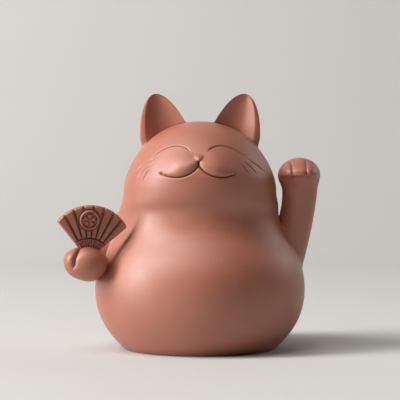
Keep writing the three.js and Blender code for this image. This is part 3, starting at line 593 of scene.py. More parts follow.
class Face:
    """Relief of the face, worked out from places across and up from its middle."""

    def __init__(self, sizes):
        self.sizes = sizes
        t = np.linspace(0, 1, LINE_SAMPLES)
        self.mouth_line = bezier(MOUTH_LINE, t) * MM
        self.eye_line = bezier(EYE_LINE, t) * MM

    def follow(self, line, across, inner_ease, outer_ease):
        """Height and slope of a line at distances from the middle, run on smoothly past its ends."""
        slopes = np.gradient(line[:, 1], line[:, 0])
        height = np.interp(across, line[:, 0], line[:, 1])
        before = np.maximum(0, line[0, 0] - across)
        after = np.maximum(0, across - line[-1, 0])
        height = height - slopes[0] * inner_ease * (1 - np.exp(-before / inner_ease))
        height = height + slopes[-1] * outer_ease * (1 - np.exp(-after / outer_ease))
        return height, np.interp(across, line[:, 0], slopes)

    def mouth(self, across):
        return self.follow(self.mouth_line, across, inner_ease=1 * MM, outer_ease=1.5 * MM)

    def eye(self, across):
        return self.follow(self.eye_line, across, inner_ease=1.5 * MM, outer_ease=3 * MM)

    def relief(self, across, height):
        """How far the clay stands out of the plain body at places across the front and up."""
        x, up = across - self.sizes.shift, height - self.sizes.middle_height
        away = np.abs(x)
        return self.lobes(away, up) - self.cuts(x, away, up) + self.eyes(away, up) - self.whiskers(x, up)

    def lobes(self, away, up):
        """Two full lobes that overhang the mouth line, and the lower lip."""
        s = self.sizes
        cleft_dip, least_crest, fall_start, lip_place = 0.45, 0.35, 0.25, 1.6
        fade_start, fade_end = 0.8 * s.lobe_reach, 1.03 * s.lobe_reach
        line, slope = self.mouth(away)
        above = (up - line) / np.hypot(1, slope)
        inner = np.clip(1 - away / s.lobe_middle, 0, 1)
        outer = ramp(away, s.lobe_middle, s.lobe_reach)
        fullness = (1 - cleft_dip * inner**2) * (1 - outer)
        low_top, high_top = s.lobe_top
        top = low_top + (high_top - low_top) * ramp(away, 0, s.lobe_middle)
        rise = dome(above / (s.lobe_crest * (least_crest + (1 - least_crest) * fullness)))
        fall = 1 - ramp(up, line + fall_start * (top - line), top)
        cut = s.mouth_depth * (1 - ramp(away, fade_start, fade_end))
        upper = s.lobe_height * fullness * rise * fall - cut * (1 - rise)
        lower = -cut * (1 - ramp(-above, 0, s.lip_width))
        lower = lower + s.lip_swell * fullness * bell(-above - lip_place * s.lip_width, s.lip_width)
        return np.where(above > 0, upper, lower)

    def cuts(self, x, away, up):
        """The cleft between the lobes and the pits at the corners of the mouth."""
        s = self.sizes
        foot, top, ease = MOUTH_LINE[0][1] * MM, -0.1 * MM, 0.4 * MM
        cleft_width, pit_width, left_pit = 0.3 * MM, 0.45 * MM, 0.25
        cleft = ramp(up, foot - ease, foot + ease) * (1 - ramp(up, top - ease, top + ease))
        corner_x, corner_up = self.mouth_line[-1]
        pit = s.pit_depth * np.where(x < 0, 1, left_pit)
        pit = pit * bell(np.hypot(away - corner_x, up - corner_up), pit_width)
        return s.mouth_depth * bell(away, cleft_width) * cleft + pit

    def eyes(self, away, up):
        """Closed, smiling eyes: one cut each, deep at the inner end and fine at the outer end."""
        s = self.sizes
        inner_fade, outer_fade, thinning = (-0.04, 0.07), (0.86, 1.05), 0.4
        line, slope = self.eye(away)
        above = (up - line) / np.hypot(1, slope)
        inner, outer = self.eye_line[0, 0], self.eye_line[-1, 0]
        share = (away - inner) / (outer - inner)
        ends = ramp(share, *inner_fade) * (1 - ramp(share, *outer_fade))
        taper = 1 - thinning * np.clip(share, 0, 1)
        over, under = s.eye_width
        width = np.where(above > 0, over, under) * taper
        return -s.eye_depth * taper * bell(above, width) * ends

    def whiskers(self, x, up):
        """Three fine cuts on each cheek, tapering at both ends."""
        s = self.sizes
        blunt_end, margin = 0.02, 4 * s.whisker_width
        depth = np.zeros(x.shape)
        t = np.linspace(0, 1, LINE_SAMPLES)
        taper = np.sqrt(np.sin(math.pi * np.clip(t, blunt_end, 1 - blunt_end)))
        for points in LEFT_WHISKERS + RIGHT_WHISKERS:
            line = bezier(points, t) * MM
            low, high = line.min(axis=0) - margin, line.max(axis=0) + margin
            here = (x > low[0]) & (x < high[0]) & (up > low[1]) & (up < high[1])
            distance = np.hypot(x[here][:, None] - line[:, 0], up[here][:, None] - line[:, 1])
            cut = (bell(distance, s.whisker_width) * taper).max(axis=1, initial=0)
            depth[here] = np.maximum(depth[here], s.whisker_depth * cut)
        return depth


def front_columns(body, face):
    """Angles of the front's columns: fine across the face, with one column in the cleft of the muzzle."""
    cleft_height = face.sizes.middle_height + MOUTH_LINE[0][1] * MM
    middle = math.asin(face.sizes.shift / body.radius(SIDE, cleft_height))
    steps = round(FACE_HALF_ANGLE / FACE_STEP)
    fine = middle + FACE_STEP * np.arange(-steps, steps + 1)
    end = math.pi / 2

    def flank(width):
        """Steps that widen evenly from the face to the seam."""
        count = round(math.log(1 + width * (FLANK_GROWTH - 1) / FACE_STEP) / math.log(FLANK_GROWTH))
        steps = np.cumsum(FLANK_GROWTH ** np.arange(1, count + 1))
        return np.append(steps / steps[-1] * (width - SEAM_STEP), width)

    return np.concatenate([fine[0] - flank(fine[0] + end)[::-1], fine, fine[-1] + flank(end - fine[-1])])


def front_heights(body, face, angles):
    """Heights of the front's rows at each column. The rows of the face follow its mouth and eye lines."""
    brow_height, settling_rounds = 73 * MM, 12
    gathering, even_share = 1.3, 0.2
    middle = face.sizes.middle_height
    plain = np.concatenate([body.bend_rows(bend, count) for bend, count in enumerate(BODY_ROWS)])
    plain[0] = body.sizes.foot_round
    columns = np.ones(len(angles))

    def row_on(line):
        height = np.full(len(angles), middle)
        for _ in range(settling_rounds):
            across = body.radius(SIDE, height) * np.sin(angles) - face.sizes.shift
            height = middle + line(np.abs(across))[0]
        return height

    def rows_between(low, high, count, ease):
        return low + (high - low) * ease(np.linspace(0, 1, count, endpoint=False))[:, None]

    mouth, eye = row_on(face.mouth), row_on(face.eye)
    chin = body.sizes.cheek_height * columns
    brow = brow_height * columns
    crown_curve = bezier(body.bends(SIDE)[-1], np.linspace(0, 1, OUTLINE_SAMPLES))[:, 1]
    brow_start = np.interp(brow_height, crown_curve, np.linspace(0, 1, OUTLINE_SAMPLES))
    return np.vstack([
        plain[:, None] * columns,
        rows_between(chin, mouth, MOUTH_ROWS, lambda share: 1 - (1 - share) ** gathering),
        rows_between(mouth, eye, CHEEK_ROWS, lambda share: gather_ends(share, even_share)),
        rows_between(eye, brow, BROW_ROWS, lambda share: share**gathering),
        body.bend_rows(-1, CROWN_ROWS, brow_start)[:, None] * columns,
    ])


def nose_skin(body, face):
    """A small rounded triangle, point down, with a ridge in the middle, pressed onto the face."""
    half_width, half_height, depth = face.sizes.nose
    columns, rows, corners = 72, 24, 3
    bed, corner_share, slope = 0.35 * MM, 0.08, 0.5
    flatness, roundness, bed_sharpness = 2.2, 0.8, 12
    turns = round_turns(columns)
    outline = 1 - corner_share * (1 + np.cos(corners * turns))
    shares = np.linspace(1, 0, rows, endpoint=False)[:, None]
    across = half_width * outline * np.sin(turns) * shares
    up = face.sizes.nose_lift + half_height * outline * np.cos(turns) * shares
    height = face.sizes.middle_height + up
    side, front = body.radius(SIDE, height), body.radius(FRONT, height)
    x = face.sizes.shift + across
    surface = -front * np.sqrt(1 - (x / side) ** 2) - face.lobes(np.abs(across), up)
    tip_down = 1 - slope * np.cos(turns) * shares
    ridge = 1 - slope * np.abs(np.sin(turns)) * shares
    proud = depth * tip_down * ridge * (1 - shares**flatness) ** roundness
    grid = np.stack([x, surface - proud + bed * shares**bed_sharpness, height], axis=-1)
    tip = grid[-1].mean(axis=0)
    return loft(grid, grid[0].mean(axis=0) + (0, 2 * bed, 0), tip)


# Limbs

def ear_skin(body, sizes, side):
    """A pinched ear: a leaf with a hollow in front, a rounded rim and a full back."""
    pointedness, fullness, lip_roundness = 1.25, 0.8, 0.7
    # Places across an ear run from -1 at its inner edge to 1 at its outer edge
    hollow_start, deepest, hollow_end = -1, -0.1, 0.75
    lip_start, lip_end, inner_lip, outer_lip = 0.1, 0.85, 0.12, 0.5
    hollow_foot, front_blend, back_blend = 1 * MM, 0.5 * MM, 1.6 * MM
    blend_start, blend_end = -0.3, 0.5
    across = side * sizes.ear_spacing / 2
    root = np.array([across, 0, body.crown_height_at(abs(across)) - sizes.ear_sink])
    axis = np.array([side * math.sin(sizes.ear_lean), 0, math.cos(sizes.ear_lean)])
    sideways = np.array([axis[2], 0, -axis[0]])
    turns = round_turns(EAR_COLUMNS)
    shares = np.sin(np.linspace(0, math.pi / 2, EAR_ROWS, endpoint=False))[:, None]
    rise = -sizes.ear_root + (sizes.ear_root + sizes.ear_height) * shares
    taper = np.sqrt(1 - np.maximum(0, rise / sizes.ear_height) ** pointedness)
    behind = np.sin(turns)
    outward = side * np.cos(turns)
    run = (outward - deepest) / np.where(outward < deepest, deepest - hollow_start, hollow_end - deepest)
    dent = (sizes.ear_back - sizes.ear_wall) * ramp(rise, -sizes.ear_root, hollow_foot)
    lip = inner_lip + (outer_lip - inner_lip) * ramp(outward, lip_start, lip_end)
    front = dent * np.maximum(0, 1 - run**2) - sizes.ear_rim * lip * np.abs(behind) ** lip_roundness
    back = sizes.ear_back * np.abs(behind) ** fullness
    width = sizes.ear_half_width * taper * np.cos(turns)
    grid = root + axis * rise[..., None] + sideways * width[..., None]
    grid[..., 1] += np.where(behind >= 0, back, front) * taper**fullness
    blend = front_blend + (back_blend - front_blend) * ramp(behind, blend_start, blend_end)
    grid = body.lute(grid, blend[None])
    return loft(grid, grid[0].mean(axis=0), root + axis * sizes.ear_height)


def raised_arm_skin(body, sizes):
    """The beckoning arm: it leaves the flank, rises beside the head and ends in a paw with toe grooves."""
    flank, root_drop, root_depth, root_back = 90, 18 * MM, 5.8 * MM, 3 * MM
    elbow_out, elbow_drop = 7.3 * MM, 1 * MM
    paw_out, paw_forward, paw_lift = 5.7 * MM, 2 * MM, 11.7 * MM
    groove_foot, groove_top, groove_front = (-1.4 * MM, -0.4 * MM), (4 * MM, 5.4 * MM), (0, 3 * MM)
    fold_foot, fold_top, fold_front = (-1.2 * MM, -0.1 * MM), (0.8 * MM, 5 * MM), (1.5 * MM, 6 * MM)
    fillet = 1.2 * MM
    neck = body.sizes.neck_height
    root = body.beside(flank, neck - root_drop, -root_depth)
    root[1] = root_back
    elbow = np.array([root[0] + elbow_out, 0, neck - elbow_drop])
    paw = np.array([root[0] + paw_out, -paw_forward, neck + paw_lift])
    grid, tip = limb([root, elbow, paw], sizes.arm_radii, (1, 0, 0), sizes.paw)
    across = grid[..., 0] - paw[0] - sizes.toe_shift
    forward, up = paw[1] - grid[..., 1], grid[..., 2] - paw[2]
    places = (-sizes.toe_spacing, sizes.toe_spacing)
    grooves = sum(crease(across - place, sizes.toe_width) for place in places)
    grooves = grooves * ramp(forward, *groove_front) * ramp(up, *groove_foot) * (1 - ramp(up, *groove_top))
    fold = ramp(forward, *fold_front) * ramp(up, *fold_foot) * (1 - ramp(up, *fold_top))
    grid = grid - ring_normals(grid) * (sizes.toe_depth * grooves)[..., None]
    grid[..., 1] -= sizes.paw_overhang * fold
    grid = body.lute(grid, fillet)
    return loft(grid, grid[0].mean(axis=0), tip)


def fan_arm_path(body):
    """Middle line of the arm that holds the fan. Its last point is the middle of the paw."""
    return body.path(FAN_ARM_PATH, body.sizes.neck_height)


def fan_arm_skin(body, sizes):
    """The other arm: it leaves the shoulder behind the fan, comes forward and ends in a gripping paw."""
    groove_depth, groove_front, groove_fade = 1.6 * MM, (-2 * MM, 1 * MM), (0.65, 1)
    palm_slope, thumb_slope = 0.7 * MM, 0.3 * MM
    thumb_place, thumb_size, thumb_lift = (-5.2 * MM, 1.8 * MM), 2.4 * MM, 0.9 * MM
    heel_place, heel_size, heel_dip = (-3 * MM, -6 * MM), 3.2 * MM, 0.3 * MM
    paw_fillet, shoulder_fillet, shoulder_span = 0.8 * MM, 2.5 * MM, (-14 * MM, -4 * MM)
    path = fan_arm_path(body)
    paw = path[-1]
    grid, tip = limb(path, sizes.fan_arm_radii, (0, -1, 0), sizes.fan_paw)
    across, forward, up = grid[..., 0] - paw[0], paw[1] - grid[..., 1], grid[..., 2] - paw[2]
    groove = bezier(FAN_PAW_GROOVE, np.linspace(0, 1, LINE_SAMPLES)) * MM
    distances = np.hypot(across[..., None] - groove[:, 0], up[..., None] - groove[:, 1])
    nearest = distances.argmin(axis=-1)
    slope = np.where(across > groove[nearest, 0], palm_slope, thumb_slope)
    cut = crease(distances.min(axis=-1), slope) * ramp(forward, *groove_front)
    cut = cut * (1 - ramp(nearest / LINE_SAMPLES, *groove_fade))
    thumb = bell(np.hypot(across - thumb_place[0], up - thumb_place[1]), thumb_size)
    heel = bell(np.hypot(across - heel_place[0], up - heel_place[1]), heel_size)
    lift = thumb_lift * thumb - heel_dip * heel - groove_depth * cut
    grid = grid + ring_normals(grid) * lift[..., None]
    shoulder = ramp(grid[..., 2] - body.sizes.neck_height, *shoulder_span)
    grid = body.lute(grid, paw_fillet + (shoulder_fillet - paw_fillet) * shoulder)
    return loft(grid, grid[0].mean(axis=0), tip)


def tail_skin(body, sizes):
    """A short tail curled up against the back."""
    fillet = 0.9 * MM
    grid, tip = limb(body.path(TAIL_PATH, 0), sizes.tail_radii, (0, 0, 1))
    grid = body.lute(grid, fillet)
    return loft(grid, grid[0].mean(axis=0), tip)


# Base

def slab_skin(sizes):
    """The disc that closes the foot, bored for the kiln, with every edge rounded."""
    columns, edge_steps, flat_steps = 128, 5, 6
    turns = round_turns(columns)
    bend = np.linspace(0, math.pi / 2, edge_steps + 1)
    drop = sizes.slab_round * (1 - np.sin(bend))
    inset = sizes.slab_round * (1 - np.cos(bend))
    top = sizes.slab_thickness

    def ring(centre, radius, height):
        heights = np.full(columns, height)
        return np.stack([radius * np.cos(turns), centre + radius * np.sin(turns), heights], axis=-1)

    edge = list(zip(inset, drop))
    outer = [ring(0, sizes.slab_radius - x, z) for x, z in edge[::-1]]
    outer += [ring(0, sizes.slab_radius - x, top - z) for x, z in edge]
    vent = [ring(sizes.vent_offset, sizes.vent_radius + x, top - z) for x, z in edge[::-1]]
    vent += [ring(sizes.vent_offset, sizes.vent_radius + x, z) for x, z in edge]
    shares = np.linspace(0, 1, flat_steps + 1)[1:-1]
    ceiling = [outer[-1] + (vent[0] - outer[-1]) * share for share in shares]
    ground = [vent[-1] + (outer[0] - vent[-1]) * share for share in shares]
    skin = Skin()
    numbers = skin.add(np.array([*outer, *ceiling, *vent, *ground, outer[0]]))
    skin.cover(numbers)
    return skin


def coil_skin(body):
    """The coil pressed over the seam inside, with the marks of the fingers along it."""
    s = body.sizes
    steps, columns = 220, 40
    press_share, least_end = 0.07, 0.05
    clear = s.joint_gap + s.coil_radius
    floor = s.slab_thickness + s.ledge_thickness + s.coil_foot_gap
    rise = np.sin(np.linspace(0, math.pi / 2, steps))
    heights = floor + (s.crown_height - s.wall - clear - floor) * rise
    widths = body.inner_radius(SIDE, heights, s.wall + clear)
    half = np.stack([widths, np.zeros(steps), heights], axis=-1)
    half[-1, 0] = 0
    axis = np.vstack([half * (-1, 1, 1), half[-2::-1]])
    travel = np.concatenate([[0], np.cumsum(np.linalg.norm(np.diff(axis, axis=0), axis=1))])
    even = np.linspace(0, travel[-1], 2 * steps)
    axis = np.stack([np.interp(even, travel, axis[:, k]) for k in range(3)], axis=-1)
    marks = 1 - press_share * (1 + np.cos(2 * math.pi * even / s.coil_press))
    ends = np.minimum(even, even[::-1]) / s.coil_radius
    radii = s.coil_radius * marks * np.maximum(dome(ends), least_end)
    rays = ring_rays(axis, (0, 1, 0), columns)
    grid = axis[:, None] + rays * radii[:, None, None]
    return loft(grid, axis[0], axis[-1])


# Fan

def fan_place(body, sizes, points):
    """Turns points of the fan's own plane, with the pivot at the middle, to where the paw holds them."""
    turned = np.array(Euler((sizes.lean, sizes.tilt, sizes.turn), "YXZ").to_matrix())
    return points @ turned.T + fan_arm_path(body)[-1] + np.asarray(sizes.pivot)


def fan_skin(body, sizes):
    """A fan with raised slats, a ribbed band at its foot and rounded edges all round."""
    columns_each, leaf_rows, band_rows, tang_rows = 16, 48, 18, 5
    even_columns, row_gathering = 0.45, 1.5
    corner_drop, corner_reach = 0.45 * sizes.corner_round, 1.6 * sizes.corner_round
    # Shares of a slat's width: where it has risen from one groove and where it turns down to the next
    slat_risen, slat_turns, low_side = 0.14, 0.74, 0.6
    leaf_start, leaf_end = sizes.band_high + 0.35 * MM, sizes.band_high + 0.9 * MM
    clear_start, clear_end = sizes.roundel_radius - 0.3 * MM, sizes.roundel_radius + 0.5 * MM
    rib_height, rib_start = 0.35 * MM, sizes.band_low - 1 * MM
    rib_fade, rib_end = sizes.band_high - 0.7 * MM, sizes.band_high - 0.2 * MM
    lip_height, lip_width = 0.8 * MM, 0.26 * MM
    front_plain, back_plain, back_slats = 0.35 * sizes.thickness, 0.4 * sizes.thickness, 0.3
    share = gather_ends(np.linspace(0, 1, columns_each, endpoint=False), even_columns)
    slat = np.arange(sizes.slats)[:, None]
    along = np.append((slat + share).ravel(), sizes.slats)
    within = np.append(np.tile(share, sizes.slats), 1)
    angles = sizes.half_spread * (2 * along / sizes.slats - 1)
    lift = sizes.reach - sizes.edge_radius
    edge = lift * np.cos(angles) + np.sqrt(sizes.edge_radius**2 - (lift * np.sin(angles)) ** 2)
    from_side = edge * (sizes.half_spread - np.abs(angles))
    edge = edge - corner_drop * (1 - dome(from_side / corner_reach))
    tang = np.linspace(sizes.tang, sizes.band_low, tang_rows, endpoint=False)
    band = np.linspace(sizes.band_low, sizes.band_high, band_rows, endpoint=False)
    foot = np.append(tang, band)[:, None] * np.ones(len(angles))
    ease = 1 - (1 - np.linspace(0, 1, leaf_rows + 1)[:, None]) ** row_gathering
    radii = np.vstack([foot, sizes.band_high + (edge - sizes.band_high) * ease])
    x, z = radii * np.sin(angles), radii * np.cos(angles)
    to_side = radii * np.sin(np.maximum(0, sizes.half_spread - np.abs(angles)))
    to_edge = np.maximum(0, np.minimum(edge - radii, radii - sizes.tang))
    rounding = dome(np.minimum(to_side, to_edge) / sizes.edge_round)
    leaf = ramp(radii, leaf_start, leaf_end)
    saw = ramp(within, 0, slat_risen) * (1 - ramp(within, slat_turns, 1))
    saw = saw * (low_side + (1 - low_side) * within)
    from_roundel = np.hypot(x - sizes.roundel_place[0], z - sizes.roundel_place[1])
    slats = sizes.slat_depth * saw * leaf * ramp(from_roundel, clear_start, clear_end)
    ribs = rib_height * (1 + np.cos(2 * math.pi * sizes.ribs * along / sizes.slats)) / 2
    ribs = ribs * ramp(radii, rib_start, sizes.band_low) * (1 - ramp(radii, rib_fade, rib_end))
    lip = lip_height * bell(radii - sizes.band_high, lip_width)
    front = front_plain + slats + ribs + lip
    back = back_plain + back_slats * sizes.slat_depth * saw[::-1] * leaf
    skin = Skin()
    for depth in (-front * rounding, back * rounding):
        skin.cover(skin.add(fan_place(body, sizes, np.stack([x, depth, z], axis=-1))), closed=False)
    return skin


def roundel_skin(body, sizes):
    """A roundel with a rounded rim round a blossom of plain petals."""
    columns, rows = 120, 60
    bed, field, rim_height, rim = 0.5 * MM, 1.5 * MM, 0.6 * MM, 0.42 * MM
    petal_place, petal_length, petal_width, petal_height = 1.42 * MM, 1.1 * MM, 0.84 * MM, 0.7 * MM
    notch_place, notch_length, notch_width, notch_share = 2.25 * MM, 0.4 * MM, 0.2 * MM, 0.6
    petal_fullness, heart, heart_fullness = 0.6, 0.62 * MM, 0.9
    turns = round_turns(columns)
    radii = sizes.roundel_radius * np.linspace(1, 0, rows, endpoint=False)[:, None]
    rim_run = (radii - sizes.roundel_radius + rim) / rim
    relief = rim_height * np.sqrt(np.maximum(0, 1 - rim_run**2)) * np.ones(columns)
    for k in range(sizes.petals):
        turn = turns - 2 * math.pi * k / sizes.petals
        along, beside = radii * np.cos(turn), radii * np.sin(turn)
        inside = 1 - ((along - petal_place) / petal_length) ** 2 - (beside / petal_width) ** 2
        notch = notch_share * bell(along - notch_place, notch_length) * bell(beside, notch_width)
        relief = np.maximum(relief, petal_height * (np.maximum(0, inside) ** petal_fullness - notch))
    heart_height = heart_fullness * heart
    relief = np.maximum(relief, heart_height * np.sqrt(np.maximum(0, 1 - (radii / heart) ** 2)))
    x = sizes.roundel_place[0] + radii * np.sin(turns)
    z = sizes.roundel_place[1] + radii * np.cos(turns)
    grid = np.stack([x, -field - relief, z], axis=-1)
    foot = grid[:1] * (1, 0, 1) - (0, bed, 0)
    grid = fan_place(body, sizes, np.vstack([foot, grid]))
    middle = np.array([sizes.roundel_place[0], 0, sizes.roundel_place[1]])
    start = fan_place(body, sizes, middle - (0, bed, 0))
    return loft(grid, start, fan_place(body, sizes, middle - (0, field + heart_height, 0)))


# Materials

def fill_inputs(tree, node, inputs):
    """Fills a shader node's inputs, by name or number, with values or links."""
    for name, value in inputs.items():
        if isinstance(value, bpy.types.NodeSocket):
            tree.links.new(value, node.inputs[name])
        else:
            node.inputs[name].default_value = value


def add_node(tree, kind, inputs=None, **settings):
    """Adds a shader node with its settings and inputs."""
    node = tree.nodes.new(f"ShaderNode{kind}")
    for name, value in settings.items():
        setattr(node, name, value)
    fill_inputs(tree, node, inputs or {})
    return node


def new_material(name):
    material = bpy.data.materials.new(name)
    material.use_nodes = True
    tree = material.node_tree
    return material, tree, tree.nodes["Principled BSDF"]


def per_metre(millimetres):
    """Scale of a pattern whose features are this far apart."""
    return 1 / (millimetres * MM)


def fired_clay(name, finish, body_colour, roughness, tooth_depth):
    """Unglazed clay, which the kiln leaves dense, with sand grains and iron specks in it and slow clouds of
    colour. Its lines and creases get a painted shade, darker where ambient occlusion finds them hidden.
    Grains are drawn at twice their real size, because real ones are finer than a pixel."""
    cloud_size, mottle_size, grain_size, tooth_size = 26, 5, 0.7, 0.5
    shade_reach, mottle_depth, gloss_spread = 0.9 * MM, 0.12 * MM, 0.05
    clay_ior, sheen = 1.6, 0.5
    material, tree, shader = new_material(name)
    place = add_node(tree, "TexCoord").outputs["Object"]
    cloud = add_node(tree, "TexNoise", {"Vector": place, "Scale": per_metre(cloud_size), "Detail": 3})
    mottle = add_node(tree, "TexNoise", {"Vector": place, "Scale": per_metre(mottle_size), "Detail": 5})
    cells = add_node(tree, "TexVoronoi", {"Vector": place, "Scale": per_metre(grain_size)})
    tooth = add_node(tree, "TexNoise", {"Vector": place, "Scale": per_metre(tooth_size), "Detail": 2})
    # Ambient occlusion, which decides where the painted shade goes in lines and creases
    pits = add_node(tree, "AmbientOcclusion", {"Distance": shade_reach}, samples=8, only_local=True)
    draw = add_node(tree, "SeparateColor", {"Color": cells.outputs["Color"]})
    speck = add_node(tree, "MapRange", {
        "Value": cells.outputs["Distance"], "From Min": 0.1, "From Max": 0.3, "To Min": 1, "To Max": 0})
    # Each tint, what brings it in, over which span, how much of it at both ends, and where it may show
    tints = [
        (finish.clay_deep, cloud.outputs["Fac"], (0.35, 0.65), (0, 0.5), 1),
        (finish.clay_pale, mottle.outputs["Fac"], (0.5, 0.75), (0, 0.22), 1),
        (finish.grain, draw.outputs[0], (0.9, 0.95), (0, 0.15), speck.outputs["Result"]),
        (finish.iron, draw.outputs[1], (0.92, 0.96), (0, 0.2), speck.outputs["Result"]),
        # Painted shade: darkens the lines and creases where ambient occlusion finds them hidden
        (finish.painted_crease_shade, pits.outputs["AO"], (0.4, 0.9), (0.9, 0), 1),
    ]
    shade = (*body_colour, 1)
    for tint, cause, (low, high), (least, most), where in tints:
        amount = add_node(tree, "MapRange", {
            "Value": cause, "From Min": low, "From Max": high, "To Min": least, "To Max": most})
        amount = add_node(tree, "Math", {0: amount.outputs["Result"], 1: where}, operation="MULTIPLY")
        mix = add_node(tree, "Mix", {0: amount.outputs[0], 6: shade, 7: (*tint, 1)}, data_type="RGBA")
        shade = mix.outputs[2]
    gloss = add_node(tree, "MapRange", {
        "Value": mottle.outputs["Fac"], "From Min": 0.3, "From Max": 0.7,
        "To Min": roughness - gloss_spread, "To Max": roughness + gloss_spread})
    hills = add_node(tree, "Bump", {
        "Height": mottle.outputs["Fac"], "Strength": 0.12, "Distance": mottle_depth})
    grit = add_node(tree, "Bump", {
        "Height": tooth.outputs["Fac"], "Strength": 0.3, "Distance": tooth_depth,
        "Normal": hills.outputs["Normal"]})
    fill_inputs(tree, shader, {
        "Base Color": shade, "Roughness": gloss.outputs["Result"], "IOR": clay_ior,
        "Coat Weight": sheen, "Coat Roughness": roughness, "Normal": grit.outputs["Normal"]})
    return material


def shared_material(name, make):
    """A material by name, made at its first use."""
    return bpy.data.materials.get(name) or make(name)


def burnished_clay(finish):
    """Clay rubbed with a smooth tool before firing: a soft, broad sheen and hardly any tooth."""
    roughness, tooth_depth = 0.5, 0.04 * MM
    return shared_material(
        "burnished_red_clay", lambda name: fired_clay(name, finish, finish.clay, roughness, tooth_depth))


def pressed_clay(finish):
    """Clay as it leaves a fine mould: a little darker and drier than the rubbed body."""
    roughness, tooth_depth = 0.52, 0.06 * MM
    return shared_material(
        "mould_pressed_clay", lambda name: fired_clay(name, finish, finish.fan_clay, roughness, tooth_depth))


def scraped_clay(finish):
    """Clay scraped flat and left: matt, with an open tooth."""
    roughness, tooth_depth = 0.8, 0.16 * MM
    return shared_material(
        "scraped_clay", lambda name: fired_clay(name, finish, finish.base_clay, roughness, tooth_depth))


def studio_paper(finish):
    """Pale matt paper under the figure, with the faint tooth of heavy card."""
    tooth_size, tooth_depth, roughness = 1.5, 0.1 * MM, 0.8
    material, tree, shader = new_material("studio_paper")
    place = add_node(tree, "TexCoord").outputs["Object"]
    tooth = add_node(tree, "TexNoise", {"Vector": place, "Scale": per_metre(tooth_size), "Detail": 3})
    bump = add_node(tree, "Bump", {
        "Height": tooth.outputs["Fac"], "Strength": 0.1, "Distance": tooth_depth})
    fill_inputs(tree, shader, {
        "Base Color": (*finish.floor, 1), "Roughness": roughness, "Normal": bump.outputs["Normal"]})
    return material


# Operators

class ClayCatOperator:
    """What every operator of the clay cat shares"""

    bl_options = {"REGISTER", "UNDO"}

    def read(self, context):
        scene = context.scene
        self.body = Body(scene.clay_cat_body)
        self.face = Face(scene.clay_cat_face)
        self.limbs = scene.clay_cat_limbs
        self.fan = scene.clay_cat_fan
        self.finish = scene.clay_cat_finish


class CLAYCAT_OT_shells(ClayCatOperator, bpy.types.Operator):
    """Makes the two halves of the hollow body, with the face on the front half"""

    bl_idname = "clay_cat.shells"
    bl_label = "Body Shells"

    def execute(self, context):
        self.read(context)
        clay = burnished_clay(self.finish)
        angles = front_columns(self.body, self.face)
        heights = front_heights(self.body, self.face, angles)
        across = self.body.radius(SIDE, heights) * np.sin(angles)
        lift = self.face.relief(across, heights)
        half_shell(self.body, angles, heights, lift).make("front_shell", "clay", clay)
        edge = [math.pi / 2, 3 * math.pi / 2]
        inner = np.linspace(edge[0] + SEAM_STEP, edge[1] - SEAM_STEP, BACK_COLUMNS)
        angles = np.concatenate([edge[:1], inner, edge[1:]])
        rows = np.concatenate([self.body.bend_rows(bend, count) for bend, count in enumerate(BACK_ROWS)])
        rows[0] = self.body.sizes.foot_round
        heights = rows[:, None] * np.ones(len(angles))
        half_shell(self.body, angles, heights, np.zeros(heights.shape)).make("back_shell", "clay", clay)
        return {"FINISHED"}


class CLAYCAT_OT_base(ClayCatOperator, bpy.types.Operator):
    """Makes the slab that closes the foot and the coil over the seam inside"""

    bl_idname = "clay_cat.base"
    bl_label = "Base Slab and Coil"

    def execute(self, context):
        self.read(context)
        clay = scraped_clay(self.finish)
        slab_skin(self.body.sizes).make("base_slab", "base_clay", clay)
        coil_skin(self.body).make("seam_coil", "base_clay", clay)
        return {"FINISHED"}


class CLAYCAT_OT_ears(ClayCatOperator, bpy.types.Operator):
    """Makes the two pinched ears"""

    bl_idname = "clay_cat.ears"
    bl_label = "Ears"

    def execute(self, context):
        self.read(context)
        for node, side in (("left_ear", CAT_LEFT), ("right_ear", CAT_RIGHT)):
            ear_skin(self.body, self.limbs, side).make(node, "clay", burnished_clay(self.finish))
        return {"FINISHED"}


class CLAYCAT_OT_nose(ClayCatOperator, bpy.types.Operator):
    """Makes the nose"""

    bl_idname = "clay_cat.nose"
    bl_label = "Nose"

    def execute(self, context):
        self.read(context)
        nose_skin(self.body, self.face).make("nose", "clay", burnished_clay(self.finish))
        return {"FINISHED"}


class CLAYCAT_OT_arms(ClayCatOperator, bpy.types.Operator):
    """Makes the raised arm and the arm that holds the fan"""

    bl_idname = "clay_cat.arms"
    bl_label = "Arms"

    def execute(self, context):
        self.read(context)
        clay = burnished_clay(self.finish)
        raised_arm_skin(self.body, self.limbs).make("raised_arm", "clay", clay)
        fan_arm_skin(self.body, self.limbs).make("fan_arm", "clay", clay)
        return {"FINISHED"}


class CLAYCAT_OT_tail(ClayCatOperator, bpy.types.Operator):
    """Makes the tail"""

    bl_idname = "clay_cat.tail"
    bl_label = "Tail"

    def execute(self, context):
        self.read(context)
        tail_skin(self.body, self.limbs).make("tail", "clay", burnished_clay(self.finish))
        return {"FINISHED"}


class CLAYCAT_OT_fan(ClayCatOperator, bpy.types.Operator):
    """Makes the folding fan and its roundel"""

    bl_idname = "clay_cat.fan"
    bl_label = "Fan and Roundel"

    def execute(self, context):
        self.read(context)
        clay = pressed_clay(self.finish)
        fan_skin(self.body, self.fan).make("fan", "fan_clay", clay)
        roundel_skin(self.body, self.fan).make("fan_medallion", "fan_clay", clay)
        return {"FINISHED"}


class CLAYCAT_OT_stage(ClayCatOperator, bpy.types.Operator):
    """Makes the floor, the lights and the camera"""

    bl_idname = "clay_cat.stage"
    bl_label = "Stage"

    def execute(self, context):
        self.read(context)
        scene = context.scene
        scene.view_settings.view_transform = "Standard"
        make_floor(self.finish)
        make_lights(scene)
        make_camera(scene)
        return {"FINISHED"}


